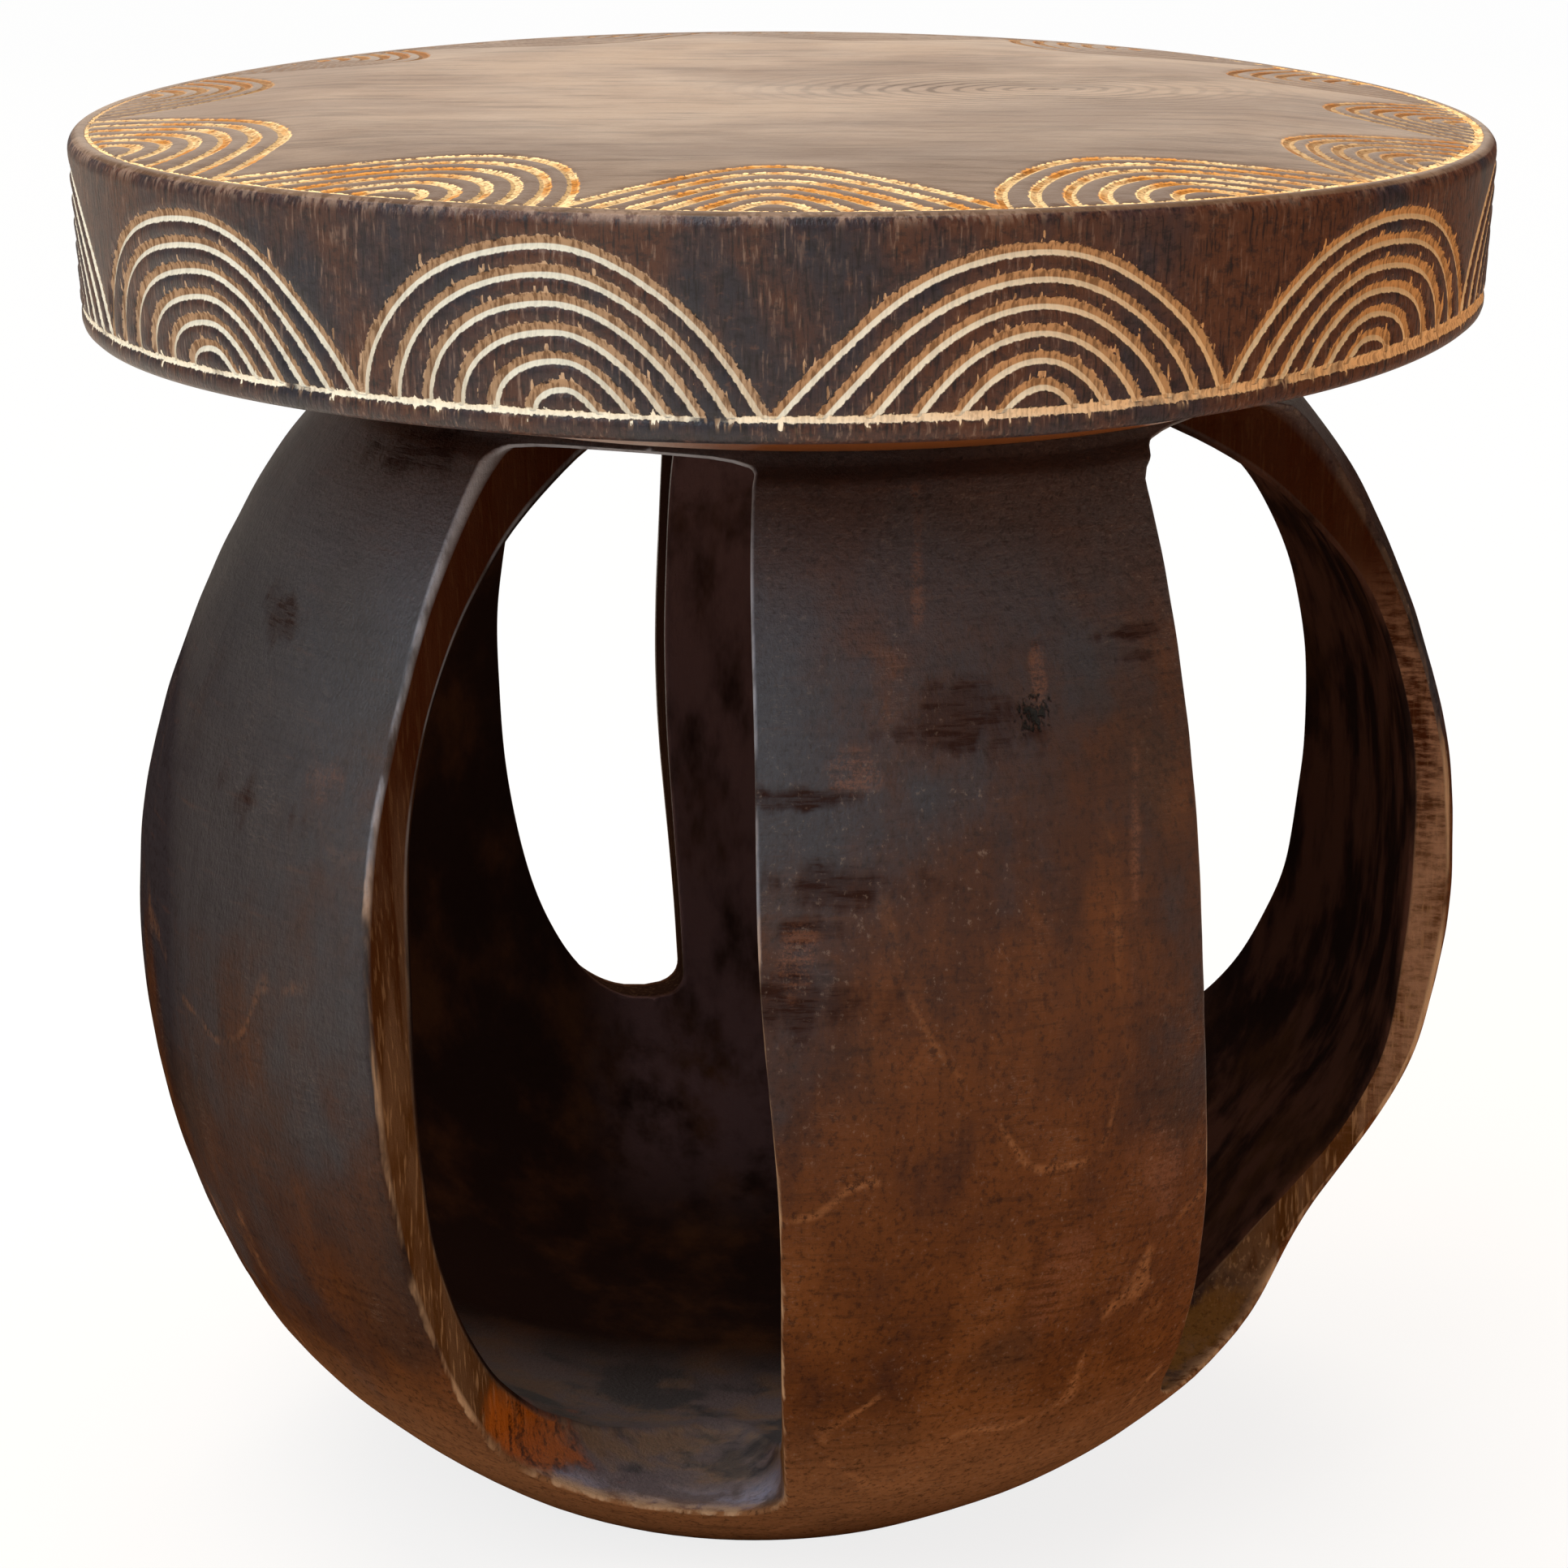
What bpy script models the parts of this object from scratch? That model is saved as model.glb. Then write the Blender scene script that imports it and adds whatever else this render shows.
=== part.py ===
"""Low round stool in the shape of a hollow gourd: a thick seat slab on a short neck,
five broad curved legs with tall openings between them, and a solid dished base.
Metres, +Z up, origin on the floor under the middle of the seat, front towards -Y."""

import math

import bmesh
import bpy

# Overall sizes
STOOL_HEIGHT = 0.4265
SEAT_RADIUS = 0.2125
SEAT_RIM_HEIGHT = 0.056
SEAT_DEPTH = 0.0785
SEAT_EDGE_ROUND = 0.004
SEAT_BROW_ACROSS = 0.0075
SEAT_BROW_DOWN = 0.009
SEAT_CROWN = 0.0045
SEAT_FLAT_RADIUS = 0.138
SEAT_UNDERCUT_FLARE = 0.010

# The globe below the seat, which leans a little to the right on its way up
GLOBE_RADIUS = 0.202
GLOBE_WIDEST_HEIGHT = 0.193
NECK_RADIUS = 0.138
FOOT_RADIUS = 0.086
LEAN_OFFSET = 0.0039
LEAN_BELOW = 0.070
LEAN_ABOVE = 0.024

# The hollow inside the globe
LEG_THICKNESS = 0.020
FLOOR_THICKNESS = 0.022
CAVITY_FULLNESS = 2.6

# Neck ring and base
NECK_HEIGHT = 0.012
NECK_SPIGOT = 0.008
NECK_SHOULDER = 0.006
NECK_BORE_RADIUS = 0.070
BASE_HEIGHT = 0.027
BASE_LIP = 0.003

# Joints between the members
JOINT_GAP = 0.0003
TENON_THICKNESS = 0.014
TENON_LENGTH = 0.008
TENON_SHOULDER = 0.010
EDGE_EASE = 0.003

# How finely the curved faces are divided
ROUND_SEGMENTS = 80
LEG_SEGMENTS = 7
LEG_LEVELS = 18
SILL_STEPS = (0.0, 0.03, 0.12, 0.3, 0.6, 1.0)
SEAM_STEPS = (0.25, 0.5, 0.75)
CROWN_STEPS = (0.2, 0.4, 0.6, 0.8)
BASE_LEVELS = 5

# The openings, in order round the globe from the front. Angles are degrees about the
# globe's axis, from the front towards +X, at the neck, at the widest height and at the base.
# "sill" is the height of the opening's lower end and "corner" how tall its round corners are.
OPENINGS = (
    {"left": (-39.6, -36.5, -31.6), "right": (-6.4, -2.4, 2.9), "sill": 0.022, "corner": 0.016},
    {"left": (38.8, 34.4, 52.2), "right": (79.0, 79.0, 79.0), "sill": 0.046, "corner": 0.030},
    {"left": (110.5, 114.5, 114.5), "right": (158.1, 158.8, 155.5), "sill": 0.098, "corner": 0.055},
    {"left": (193.9, 192.8, 189.2), "right": (216.2, 213.2, 209.6), "sill": 0.094, "corner": 0.045},
    {"left": (237.0, 238.0, 240.0), "right": (267.0, 266.0, 264.0), "sill": 0.070, "corner": 0.050},
)
CORNER_FULLNESS = 3.0

# The legs, each between two of the openings, named as seen from the front
LEG_NAMES = ("leg_front", "leg_right", "leg_back", "leg_back_left", "leg_left")

# The right leg is hewn thin along its front edge
THIN_LEG = "leg_right"
THIN_BY = 0.009
THIN_DEGREES = 18.0
THIN_MIDDLE = 0.200
THIN_REACH = 0.140

# The wall is pressed in low down on the right
DENT_DEPTH = 0.012
DENT_AT_DEGREES = 92.0
DENT_SPREAD_DEGREES = 27.0
DENT_HEIGHT = 0.086
DENT_REACH = 0.058

# Heights that follow from the sizes above
NECK_TOP = STOOL_HEIGHT - SEAT_DEPTH
NECK_BOTTOM = NECK_TOP - NECK_HEIGHT
LEG_TOP = NECK_BOTTOM - JOINT_GAP
LEG_BOTTOM = BASE_HEIGHT + JOINT_GAP
UPPER_HALF_HEIGHT = (NECK_TOP - GLOBE_WIDEST_HEIGHT) / math.sqrt(1 - (NECK_RADIUS / GLOBE_RADIUS) ** 2)
LOWER_HALF_HEIGHT = GLOBE_WIDEST_HEIGHT / math.sqrt(1 - (FOOT_RADIUS / GLOBE_RADIUS) ** 2)


def axis_x(height):
    """Where the leaning axis of the globe is at a height."""
    slope = LEAN_ABOVE if height > GLOBE_WIDEST_HEIGHT else LEAN_BELOW
    return LEAN_OFFSET + slope * (height - GLOBE_WIDEST_HEIGHT)


def outer_radius(height):
    """Radius of the globe's outside: an ellipse through the neck, the waist and the foot."""
    half = UPPER_HALF_HEIGHT if height > GLOBE_WIDEST_HEIGHT else LOWER_HALF_HEIGHT
    return GLOBE_RADIUS * math.sqrt(1 - ((height - GLOBE_WIDEST_HEIGHT) / half) ** 2)


def inner_radius(height):
    """Radius of the hollow: a fuller oval from the floor inside up to the seat."""
    half = NECK_TOP - GLOBE_WIDEST_HEIGHT
    if height < GLOBE_WIDEST_HEIGHT:
        half = GLOBE_WIDEST_HEIGHT - FLOOR_THICKNESS
    share = abs(height - GLOBE_WIDEST_HEIGHT) / half
    return (GLOBE_RADIUS - LEG_THICKNESS) * (1 - share ** CAVITY_FULLNESS) ** (1 / CAVITY_FULLNESS)


def edge_angle(angles, height):
    """An opening's edge: a parabola through its angles at the neck, the waist and the base."""
    at_neck, at_waist, at_base = angles
    heights = (NECK_BOTTOM, GLOBE_WIDEST_HEIGHT, BASE_HEIGHT)
    total = 0.0
    for i, angle in enumerate((at_neck, at_waist, at_base)):
        weight = 1.0
        for j, other in enumerate(heights):
            if i != j:
                weight *= (height - other) / (heights[i] - other)
        total += angle * weight
    return math.radians(total)


def opening_edges(opening, height):
    """Both edges of an opening at a height. They meet in a seam below its sill."""
    left = edge_angle(opening["left"], height)
    right = edge_angle(opening["right"], height)
    middle = (left + right) / 2
    below = (opening["sill"] + opening["corner"] - height) / opening["corner"]
    below = min(max(below, 0.0), 1.0)
    width = (1 - below ** CORNER_FULLNESS) ** (1 / CORNER_FULLNESS)
    seam = JOINT_GAP / 2 / inner_radius(height)
    half = max((right - left) / 2 * width, seam)
    return middle - half, middle + half


def thinning(name, height):
    """How much thinner a leg is at its front edge than elsewhere."""
    if name != THIN_LEG:
        return 0.0
    share = min(abs(height - THIN_MIDDLE) / THIN_REACH, 1.0)
    return THIN_BY * (1 - share ** 4)


def dent(angle, height):
    """How far the wall is pressed in."""
    up = min(abs(height - DENT_HEIGHT) / DENT_REACH, 1.0)
    along = min(abs(math.degrees(angle) - DENT_AT_DEGREES) / DENT_SPREAD_DEGREES, 1.0)
    return DENT_DEPTH * (math.cos(math.pi / 2 * up) * math.cos(math.pi / 2 * along)) ** 2


def ring_point(angle, radius, height):
    radius -= dent(angle, height)
    x = axis_x(height) + radius * math.sin(angle)
    return (x, -radius * math.cos(angle), height)


def arc(start, end, radius, height):
    step = (end - start) / LEG_SEGMENTS
    return [ring_point(start + step * i, radius, height) for i in range(LEG_SEGMENTS + 1)]


def section(start, end, inside, outside, height, ease, thin=0.0):
    """One horizontal section of a leg, with its corners eased, as a closed loop of points."""
    on_outside = ease / outside
    on_inside = ease / inside
    loop = [ring_point(start, outside - ease, height)]
    loop += arc(start + on_outside, end - on_outside, outside, height)
    loop.append(ring_point(end, outside - ease, height))
    loop.append(ring_point(end, inside + ease, height))
    first, last = end - on_inside, start + on_inside
    for i in range(LEG_SEGMENTS + 1):
        angle = first + (last - first) * i / LEG_SEGMENTS
        near = max(1 - (angle - start) / math.radians(THIN_DEGREES), 0.0)
        loop.append(ring_point(angle, inside + thin * near ** 2, height))
    loop.append(ring_point(start, inside + thin + ease, height))
    return loop


def tenon_section(start, end, inside, outside, level, height, grow):
    """The tenon at a leg's end: a slice of a ring in the middle of the leg's end face."""
    middle = (inside + outside) / 2
    half = TENON_THICKNESS / 2 + grow
    shoulder = (TENON_SHOULDER - grow) / middle
    loop = section(start + shoulder, end - shoulder, middle - half, middle + half, level, EDGE_EASE / 2)
    return [(x, y, height) for x, y, _ in loop]


def leg_levels(left_opening, right_opening):
    """Heights of a leg's sections: even steps, and closer ones at each opening's lower end and the seam below it."""
    step = (LEG_TOP - LEG_BOTTOM) / LEG_LEVELS
    wanted = [LEG_BOTTOM + step * i for i in range(LEG_LEVELS + 1)]
    for opening in (left_opening, right_opening):
        wanted += [opening["sill"] + opening["corner"] * share for share in SILL_STEPS]
        wanted += [LEG_BOTTOM + (opening["sill"] - LEG_BOTTOM) * share for share in SEAM_STEPS]
    wanted = sorted(h for h in wanted if LEG_BOTTOM <= h <= LEG_TOP)
    levels = [LEG_BOTTOM]
    for height in wanted:
        if height - levels[-1] > JOINT_GAP * 2:
            levels.append(height)
    levels[-1] = LEG_TOP
    return levels


def lofted(name, loops):
    """A closed body through loops of as many points each, capped at both ends."""
    bm = bmesh.new()
    rings = [[bm.verts.new(point) for point in loop] for loop in loops]
    for lower, upper in zip(rings, rings[1:]):
        for i in range(len(lower)):
            bm.faces.new((lower[i - 1], lower[i], upper[i], upper[i - 1]))
    bm.faces.new(rings[0])
    bm.faces.new(rings[-1])
    return finished(name, bm)


def turned(name, stations):
    """A body turned from stations of radius, height and centre, from its top round to its underside."""
    bm = bmesh.new()
    rings = []
    for radius, height, centre in stations:
        if radius == 0:
            rings.append([bm.verts.new((centre, 0, height))])
            continue
        turn = 2 * math.pi / ROUND_SEGMENTS
        ring = []
        for i in range(ROUND_SEGMENTS):
            ring.append(bm.verts.new((centre + radius * math.cos(turn * i), radius * math.sin(turn * i), height)))
        rings.append(ring)
    for first, second in zip(rings, rings[1:]):
        for i in range(ROUND_SEGMENTS):
            if len(first) == 1:
                bm.faces.new((first[0], second[i], second[i - 1]))
            elif len(second) == 1:
                bm.faces.new((first[i - 1], first[i], second[0]))
            else:
                bm.faces.new((first[i - 1], first[i], second[i], second[i - 1]))
    if len(rings[0]) > 1:
        for i in range(ROUND_SEGMENTS):
            bm.faces.new((rings[-1][i - 1], rings[-1][i], rings[0][i], rings[0][i - 1]))
    return finished(name, bm)


def finished(name, bm):
    bmesh.ops.recalc_face_normals(bm, faces=bm.faces)
    mesh = bpy.data.meshes.new(name)
    bm.to_mesh(mesh)
    bm.free()
    mesh.shade_smooth()
    mesh.set_sharp_from_angle(angle=math.radians(35))
    obj = bpy.data.objects.new(name, mesh)
    bpy.context.scene.collection.objects.link(obj)
    return obj


def wood(name, colour, roughness):
    material = bpy.data.materials.new(name)
    material.use_nodes = True
    shader = material.node_tree.nodes["Principled BSDF"]
    shader.inputs["Base Color"].default_value = (*colour, 1.0)
    shader.inputs["Roughness"].default_value = roughness
    shader.inputs["Metallic"].default_value = 0.0
    return material


def cut_mortise(body, cutter):
    cutter.hide_render = True
    cutter.display_type = "WIRE"
    cut = body.modifiers.new(cutter.name, "BOOLEAN")
    cut.operation = "DIFFERENCE"
    cut.solver = "EXACT"
    cut.object = cutter


def seat():
    """The slab: top flat in the middle and falling to a straight rim, an undercut sloping in to the
    neck, and a seat for the neck's spigot."""
    rim_top = STOOL_HEIGHT - SEAT_CROWN
    rim_foot = rim_top - SEAT_RIM_HEIGHT
    at_neck = axis_x(NECK_TOP)
    recess = NECK_RADIUS - NECK_SHOULDER + JOINT_GAP
    stations = [(0.0, STOOL_HEIGHT, 0.0), (SEAT_FLAT_RADIUS, STOOL_HEIGHT, 0.0)]
    for share in CROWN_STEPS:
        radius = SEAT_FLAT_RADIUS + (SEAT_RADIUS - SEAT_BROW_ACROSS - SEAT_FLAT_RADIUS) * share
        stations.append((radius, STOOL_HEIGHT - SEAT_CROWN * share ** 1.25, 0.0))
    for turn in (0, 30, 60, 90):
        back = SEAT_BROW_ACROSS * (1 - math.sin(math.radians(turn)))
        drop = SEAT_BROW_DOWN * (1 - math.cos(math.radians(turn)))
        stations.append((SEAT_RADIUS - back, rim_top - drop, 0.0))
    stations.append((SEAT_RADIUS, rim_foot + SEAT_EDGE_ROUND, 0.0))
    stations.append((SEAT_RADIUS - SEAT_EDGE_ROUND, rim_foot, 0.0))
    stations.append((NECK_RADIUS + SEAT_UNDERCUT_FLARE, NECK_TOP + JOINT_GAP, at_neck))
    stations.append((recess, NECK_TOP + JOINT_GAP, at_neck))
    stations.append((recess, NECK_TOP + NECK_SPIGOT + JOINT_GAP, at_neck))
    stations.append((0.0, NECK_TOP + NECK_SPIGOT + JOINT_GAP, at_neck))
    return turned("seat", stations)


def neck():
    """The ring under the seat: its spigot sits in the seat, and the legs' tenons in its underside."""
    spigot = NECK_RADIUS - NECK_SHOULDER
    top = NECK_TOP + NECK_SPIGOT
    bore = inner_radius(NECK_BOTTOM)
    stations = [
        (NECK_BORE_RADIUS, top, axis_x(NECK_TOP)),
        (spigot, top, axis_x(NECK_TOP)),
        (spigot, NECK_TOP, axis_x(NECK_TOP)),
        (NECK_RADIUS, NECK_TOP, axis_x(NECK_TOP)),
        (outer_radius(NECK_BOTTOM), NECK_BOTTOM, axis_x(NECK_BOTTOM)),
        (bore, NECK_BOTTOM, axis_x(NECK_BOTTOM)),
        (NECK_BORE_RADIUS, NECK_TOP, axis_x(NECK_TOP)),
    ]
    return turned("neck", stations)


def base():
    """The solid foot: the globe's lower end, flat below and dished inside."""
    stations = [(0.0, FLOOR_THICKNESS, axis_x(BASE_HEIGHT))]
    stations.append((inner_radius(BASE_HEIGHT), BASE_HEIGHT, axis_x(BASE_HEIGHT)))
    stations.append((outer_radius(BASE_HEIGHT) - BASE_LIP, BASE_HEIGHT, axis_x(BASE_HEIGHT)))
    lip = BASE_HEIGHT - BASE_LIP
    for i in range(BASE_LEVELS + 1):
        height = lip * (1 - i / BASE_LEVELS)
        stations.append((outer_radius(height), height, axis_x(height)))
    stations.append((0.0, 0.0, axis_x(0.0)))
    return turned("base", stations)


def leg(name, left_opening, right_opening, neck_ring, foot):
    """One stave of the globe, with a tenon at each end and the mortises that take them."""
    loops = []
    for height in leg_levels(left_opening, right_opening):
        start = opening_edges(left_opening, height)[1]
        end = opening_edges(right_opening, height)[0]
        if end < start:
            end += 2 * math.pi
        spans = (start, end, inner_radius(height), outer_radius(height))
        loops.append(section(*spans, height, EDGE_EASE, thinning(name, height)))
        if height == LEG_BOTTOM:
            foot_spans = spans
    low = tenon_section(*foot_spans, LEG_BOTTOM, LEG_BOTTOM - TENON_LENGTH, 0.0)
    low_root = tenon_section(*foot_spans, LEG_BOTTOM, LEG_BOTTOM, 0.0)
    high_root = tenon_section(*spans, LEG_TOP, LEG_TOP, 0.0)
    high = tenon_section(*spans, LEG_TOP, LEG_TOP + TENON_LENGTH, 0.0)
    stave = lofted(name, [low, low_root, *loops, high_root, high])
    past = TENON_LENGTH
    for body, ends, level, way in ((foot, foot_spans, LEG_BOTTOM, -1), (neck_ring, spans, LEG_TOP, 1)):
        depth = level + way * (TENON_LENGTH + JOINT_GAP)
        mouth = level - way * past
        sides = [tenon_section(*ends, level, height, JOINT_GAP) for height in sorted((depth, mouth))]
        cut_mortise(body, lofted(f"{name}_{body.name}_mortise", sides))
    return stave


for old in list(bpy.data.objects):
    bpy.data.objects.remove(old, do_unlink=True)

seat_slab = seat()
seat_slab.data.materials.append(wood("carved_seat_wood", (0.105, 0.058, 0.036), 0.45))
neck_ring = neck()
neck_ring.data.materials.append(wood("neck_wood", (0.050, 0.024, 0.015), 0.50))
base_dish = base()
base_dish.data.materials.append(wood("base_wood", (0.085, 0.040, 0.022), 0.45))
leg_wood = wood("leg_wood", (0.062, 0.030, 0.019), 0.40)
for number, leg_name in enumerate(LEG_NAMES):
    after = OPENINGS[(number + 1) % len(OPENINGS)]
    stave = leg(leg_name, OPENINGS[number], after, neck_ring, base_dish)
    stave.data.materials.append(leg_wood)
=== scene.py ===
import math

import bpy
import numpy as np
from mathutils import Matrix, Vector, kdtree, noise


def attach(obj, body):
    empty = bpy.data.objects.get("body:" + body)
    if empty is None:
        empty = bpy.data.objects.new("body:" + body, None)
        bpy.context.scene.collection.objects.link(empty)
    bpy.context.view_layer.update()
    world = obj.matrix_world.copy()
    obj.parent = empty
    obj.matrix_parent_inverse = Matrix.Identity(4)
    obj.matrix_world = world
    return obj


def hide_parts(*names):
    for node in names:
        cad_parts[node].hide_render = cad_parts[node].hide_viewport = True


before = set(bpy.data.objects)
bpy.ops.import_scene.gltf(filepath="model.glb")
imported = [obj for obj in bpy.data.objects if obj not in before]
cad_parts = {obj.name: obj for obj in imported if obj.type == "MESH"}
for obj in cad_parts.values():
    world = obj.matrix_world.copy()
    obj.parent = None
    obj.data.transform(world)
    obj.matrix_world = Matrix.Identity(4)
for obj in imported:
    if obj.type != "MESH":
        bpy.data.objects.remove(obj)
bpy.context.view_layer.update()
bpy.ops.object.select_all(action="DESELECT")

# Globe: the hollow body of the stool, hewn in one with its neck and foot from a single log.
# Five broad staves stand between tall openings; the wood is stained near black, waxed and
# worn red-brown, with paler bruised edges where the openings were cut with the grain.
globe_radius = 0.202
globe_widest = 0.193
neck_top = 0.348
neck_radius = 0.138
foot_radius = 0.086
lean_offset = 0.0039
lean_below = 0.070
lean_above = 0.024
lean_soft = 0.04
wall = 0.020
floor_inside = 0.022
hollow_fullness = 2.6
shoulder_height = 0.3395
shoulder_step = 0.006
shoulder_run = 0.004
fuller_by, fuller_at, fuller_reach = 0.0020, 0.052, 0.035
slimmer_by, slimmer_at, slimmer_reach = 0.0019, 0.285, 0.040
lintel = 0.3455
edge_round = 0.0014
upper_half = (neck_top - globe_widest) / math.sqrt(1 - (neck_radius / globe_radius) ** 2)
lower_half = globe_widest / math.sqrt(1 - (foot_radius / globe_radius) ** 2)

# Each opening: its two edges in degrees from the front, at the neck, the waist and the foot; its
# sill's height and where along it the sill is lowest; the height of the sill's left and right
# round corners; and how tall the corners under the lintel are.
openings = [
    {"left": (-39.6, -36.5, -31.2), "right": (-6.4, -2.4, 2.9), "sill": 0.0245, "lowest": 0.6,
     "corners": (0.022, 0.012), "top": 0.004},
    {"left": (38.8, 34.4, 52.2), "right": (79.0, 79.0, 79.0), "sill": 0.046, "lowest": 0.4,
     "corners": (0.022, 0.040), "top": 0.012},
    {"left": (111.5, 116.2, 115.5), "right": (158.1, 158.8, 155.5), "sill": 0.098, "lowest": 0.55,
     "corners": (0.110, 0.050), "top": 0.010},
    {"left": (196.6, 193.8, 189.2), "right": (216.2, 213.2, 209.6), "sill": 0.094, "lowest": 0.2,
     "corners": (0.008, 0.115), "top": 0.010},
    {"left": (237.0, 238.0, 240.0), "right": (267.0, 266.0, 264.0), "sill": 0.070, "lowest": 0.5,
     "corners": (0.050, 0.050), "top": 0.010},
]
edge_heights = (neck_top - 0.012, globe_widest, 0.027)
wander_degrees = 0.22
wander_rate = 47
corner_fullness = 2.3
thin_stave = 1
thin_by = 0.0065
thin_degrees = 18.0
thin_middle = 0.200
thin_reach = 0.140
dent_depth = 0.012
dent_degrees = 92.0
dent_spread = 27.0
dent_height = 0.086
dent_reach = 0.058


def axis_x(height):
    """Where the globe's axis is at a height: it leans to the right, less above the waist than below."""
    above = height - globe_widest
    bend = np.sqrt(above * above + lean_soft * lean_soft) - lean_soft
    return lean_offset + (lean_above + lean_below) / 2 * above + (lean_above - lean_below) / 2 * bend


def outer_radius(height):
    half = upper_half if height > globe_widest else lower_half
    step = min(max((height - shoulder_height) / shoulder_run, 0.0), 1.0)
    round_off = max(1 - ((height - globe_widest) / half) ** 2, 0.0)
    fuller_low = fuller_by * math.exp(-(((height - fuller_at) / fuller_reach) ** 2))
    slimmer_high = slimmer_by * math.exp(-(((height - slimmer_at) / slimmer_reach) ** 2))
    hewn = globe_radius * math.sqrt(round_off) + fuller_low - slimmer_high
    return hewn - shoulder_step * step * step * (3 - 2 * step)


def inner_radius(height):
    half = neck_top - globe_widest if height > globe_widest else globe_widest - floor_inside
    share = min(abs(height - globe_widest) / half, 1.0)
    return (globe_radius - wall) * (1 - share**hollow_fullness) ** (1 / hollow_fullness)


def edge_angle(angles, height, seed):
    """An edge through its three angles, with the slight wander of a hand-held tool."""
    heights = edge_heights
    total = 0.0
    for i in range(3):
        weight = 1.0
        for j in range(3):
            if i != j:
                weight = weight * (height - heights[j]) / (heights[i] - heights[j])
        total = total + angles[i] * weight
    return math.radians(total + wander_degrees * math.sin(height * wander_rate + seed))


def opening_edges(number, height):
    """Left edge, right edge, and whether the opening is open at this height."""
    hole = openings[number]
    left = edge_angle(hole["left"], height, number * 1.7)
    right = edge_angle(hole["right"], height, number * 2.9 + 1.0)
    seam = left + (right - left) * hole["lowest"]
    high = min(max((height - lintel + hole["top"]) / hole["top"], 0.0), 1.0)
    under = (1 - high**corner_fullness) ** (1 / corner_fullness)
    ends = []
    for edge, corner in zip((left, right), hole["corners"]):
        low = min(max((hole["sill"] + corner - height) / corner, 0.0), 1.0)
        ends.append(seam + (edge - seam) * under * (1 - low**corner_fullness) ** (1 / corner_fullness))
    return ends[0], ends[1], hole["sill"] < height < lintel


globe_top = 0.3525
row_step = 0.0026
row_least = 0.0004


def globe_heights():
    """Heights of the globe's sections, closer together by each sill, the lintels and the floor."""
    fixed = {hole["sill"] for hole in openings} | {lintel}
    wanted = list(np.arange(0.0, globe_top, row_step))
    for hole in openings:
        wanted += [hole["sill"] - down for down in (0.0034, 0.0021, 0.0012, 0.0005)]
        wanted += [hole["sill"] + min(hole["corners"]) * up for up in (0.01, 0.04, 0.09, 0.17, 0.28, 0.42)]
    wanted += [lintel + up for up in (0.0005, 0.0012, 0.0021, 0.0034)]
    wanted += [lintel - down for down in (0.0001, 0.0005, 0.0012, 0.0024, 0.004)]
    wanted += [shoulder_height + shoulder_run * up for up in (0.0, 0.2, 0.4, 0.6, 0.8, 1.0)]
    wanted += [floor_inside + up for up in (0.00002, 0.0002, 0.0006, 0.0013, 0.0038)]
    wanted += [neck_top - down for down in (0.00002, 0.0003, 0.0009)]
    heights = []
    for height in sorted(set(wanted) | fixed):
        near = heights and height - heights[-1] < row_least
        if near and heights[-1] not in fixed and height in fixed:
            heights[-1] = height
        elif not near or height in fixed:
            heights.append(height)
    return heights


edge_spacing = [0.0, 0.0004, 0.0009, 0.0015, 0.0022, 0.0040]
least_radius = 0.02


def spread(width, radius, middle_count):
    """Shares across a stave: close together at both edges, even between them."""
    edge = np.array(edge_spacing) / max(radius, least_radius)
    edge = edge * min(1.0, width * 0.3 / edge[-1])
    middle = np.linspace(edge[-1], width - edge[-1], middle_count)
    return np.concatenate([edge[:-1], middle, (width - edge[:-1])[::-1]]) / width


points, faces = [], []
point_kind = []
point_floor = []
outside_kind, inside_kind, cut_kind = 0, 1, 2
rows = globe_heights()
stave_count = len(openings)
side_steps = 6
outer_columns = 22
inner_columns = 16
floor_fade_top = 0.060
floor_fade = 0.030
sill_reach = 0.026
edge_points = {outside_kind: [], inside_kind: []}


def add_point(angle, radius, height, kind, floor=0.0):
    up = min(abs(height - dent_height) / dent_reach, 1.0)
    along = min(abs(math.degrees(angle) - dent_degrees) / dent_spread, 1.0)
    radius -= dent_depth * (math.cos(math.pi / 2 * up) * math.cos(math.pi / 2 * along)) ** 2
    points.append((axis_x(height) + radius * math.sin(angle), -radius * math.cos(angle), height))
    point_kind.append(kind)
    point_floor.append(floor)
    return len(points) - 1


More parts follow.
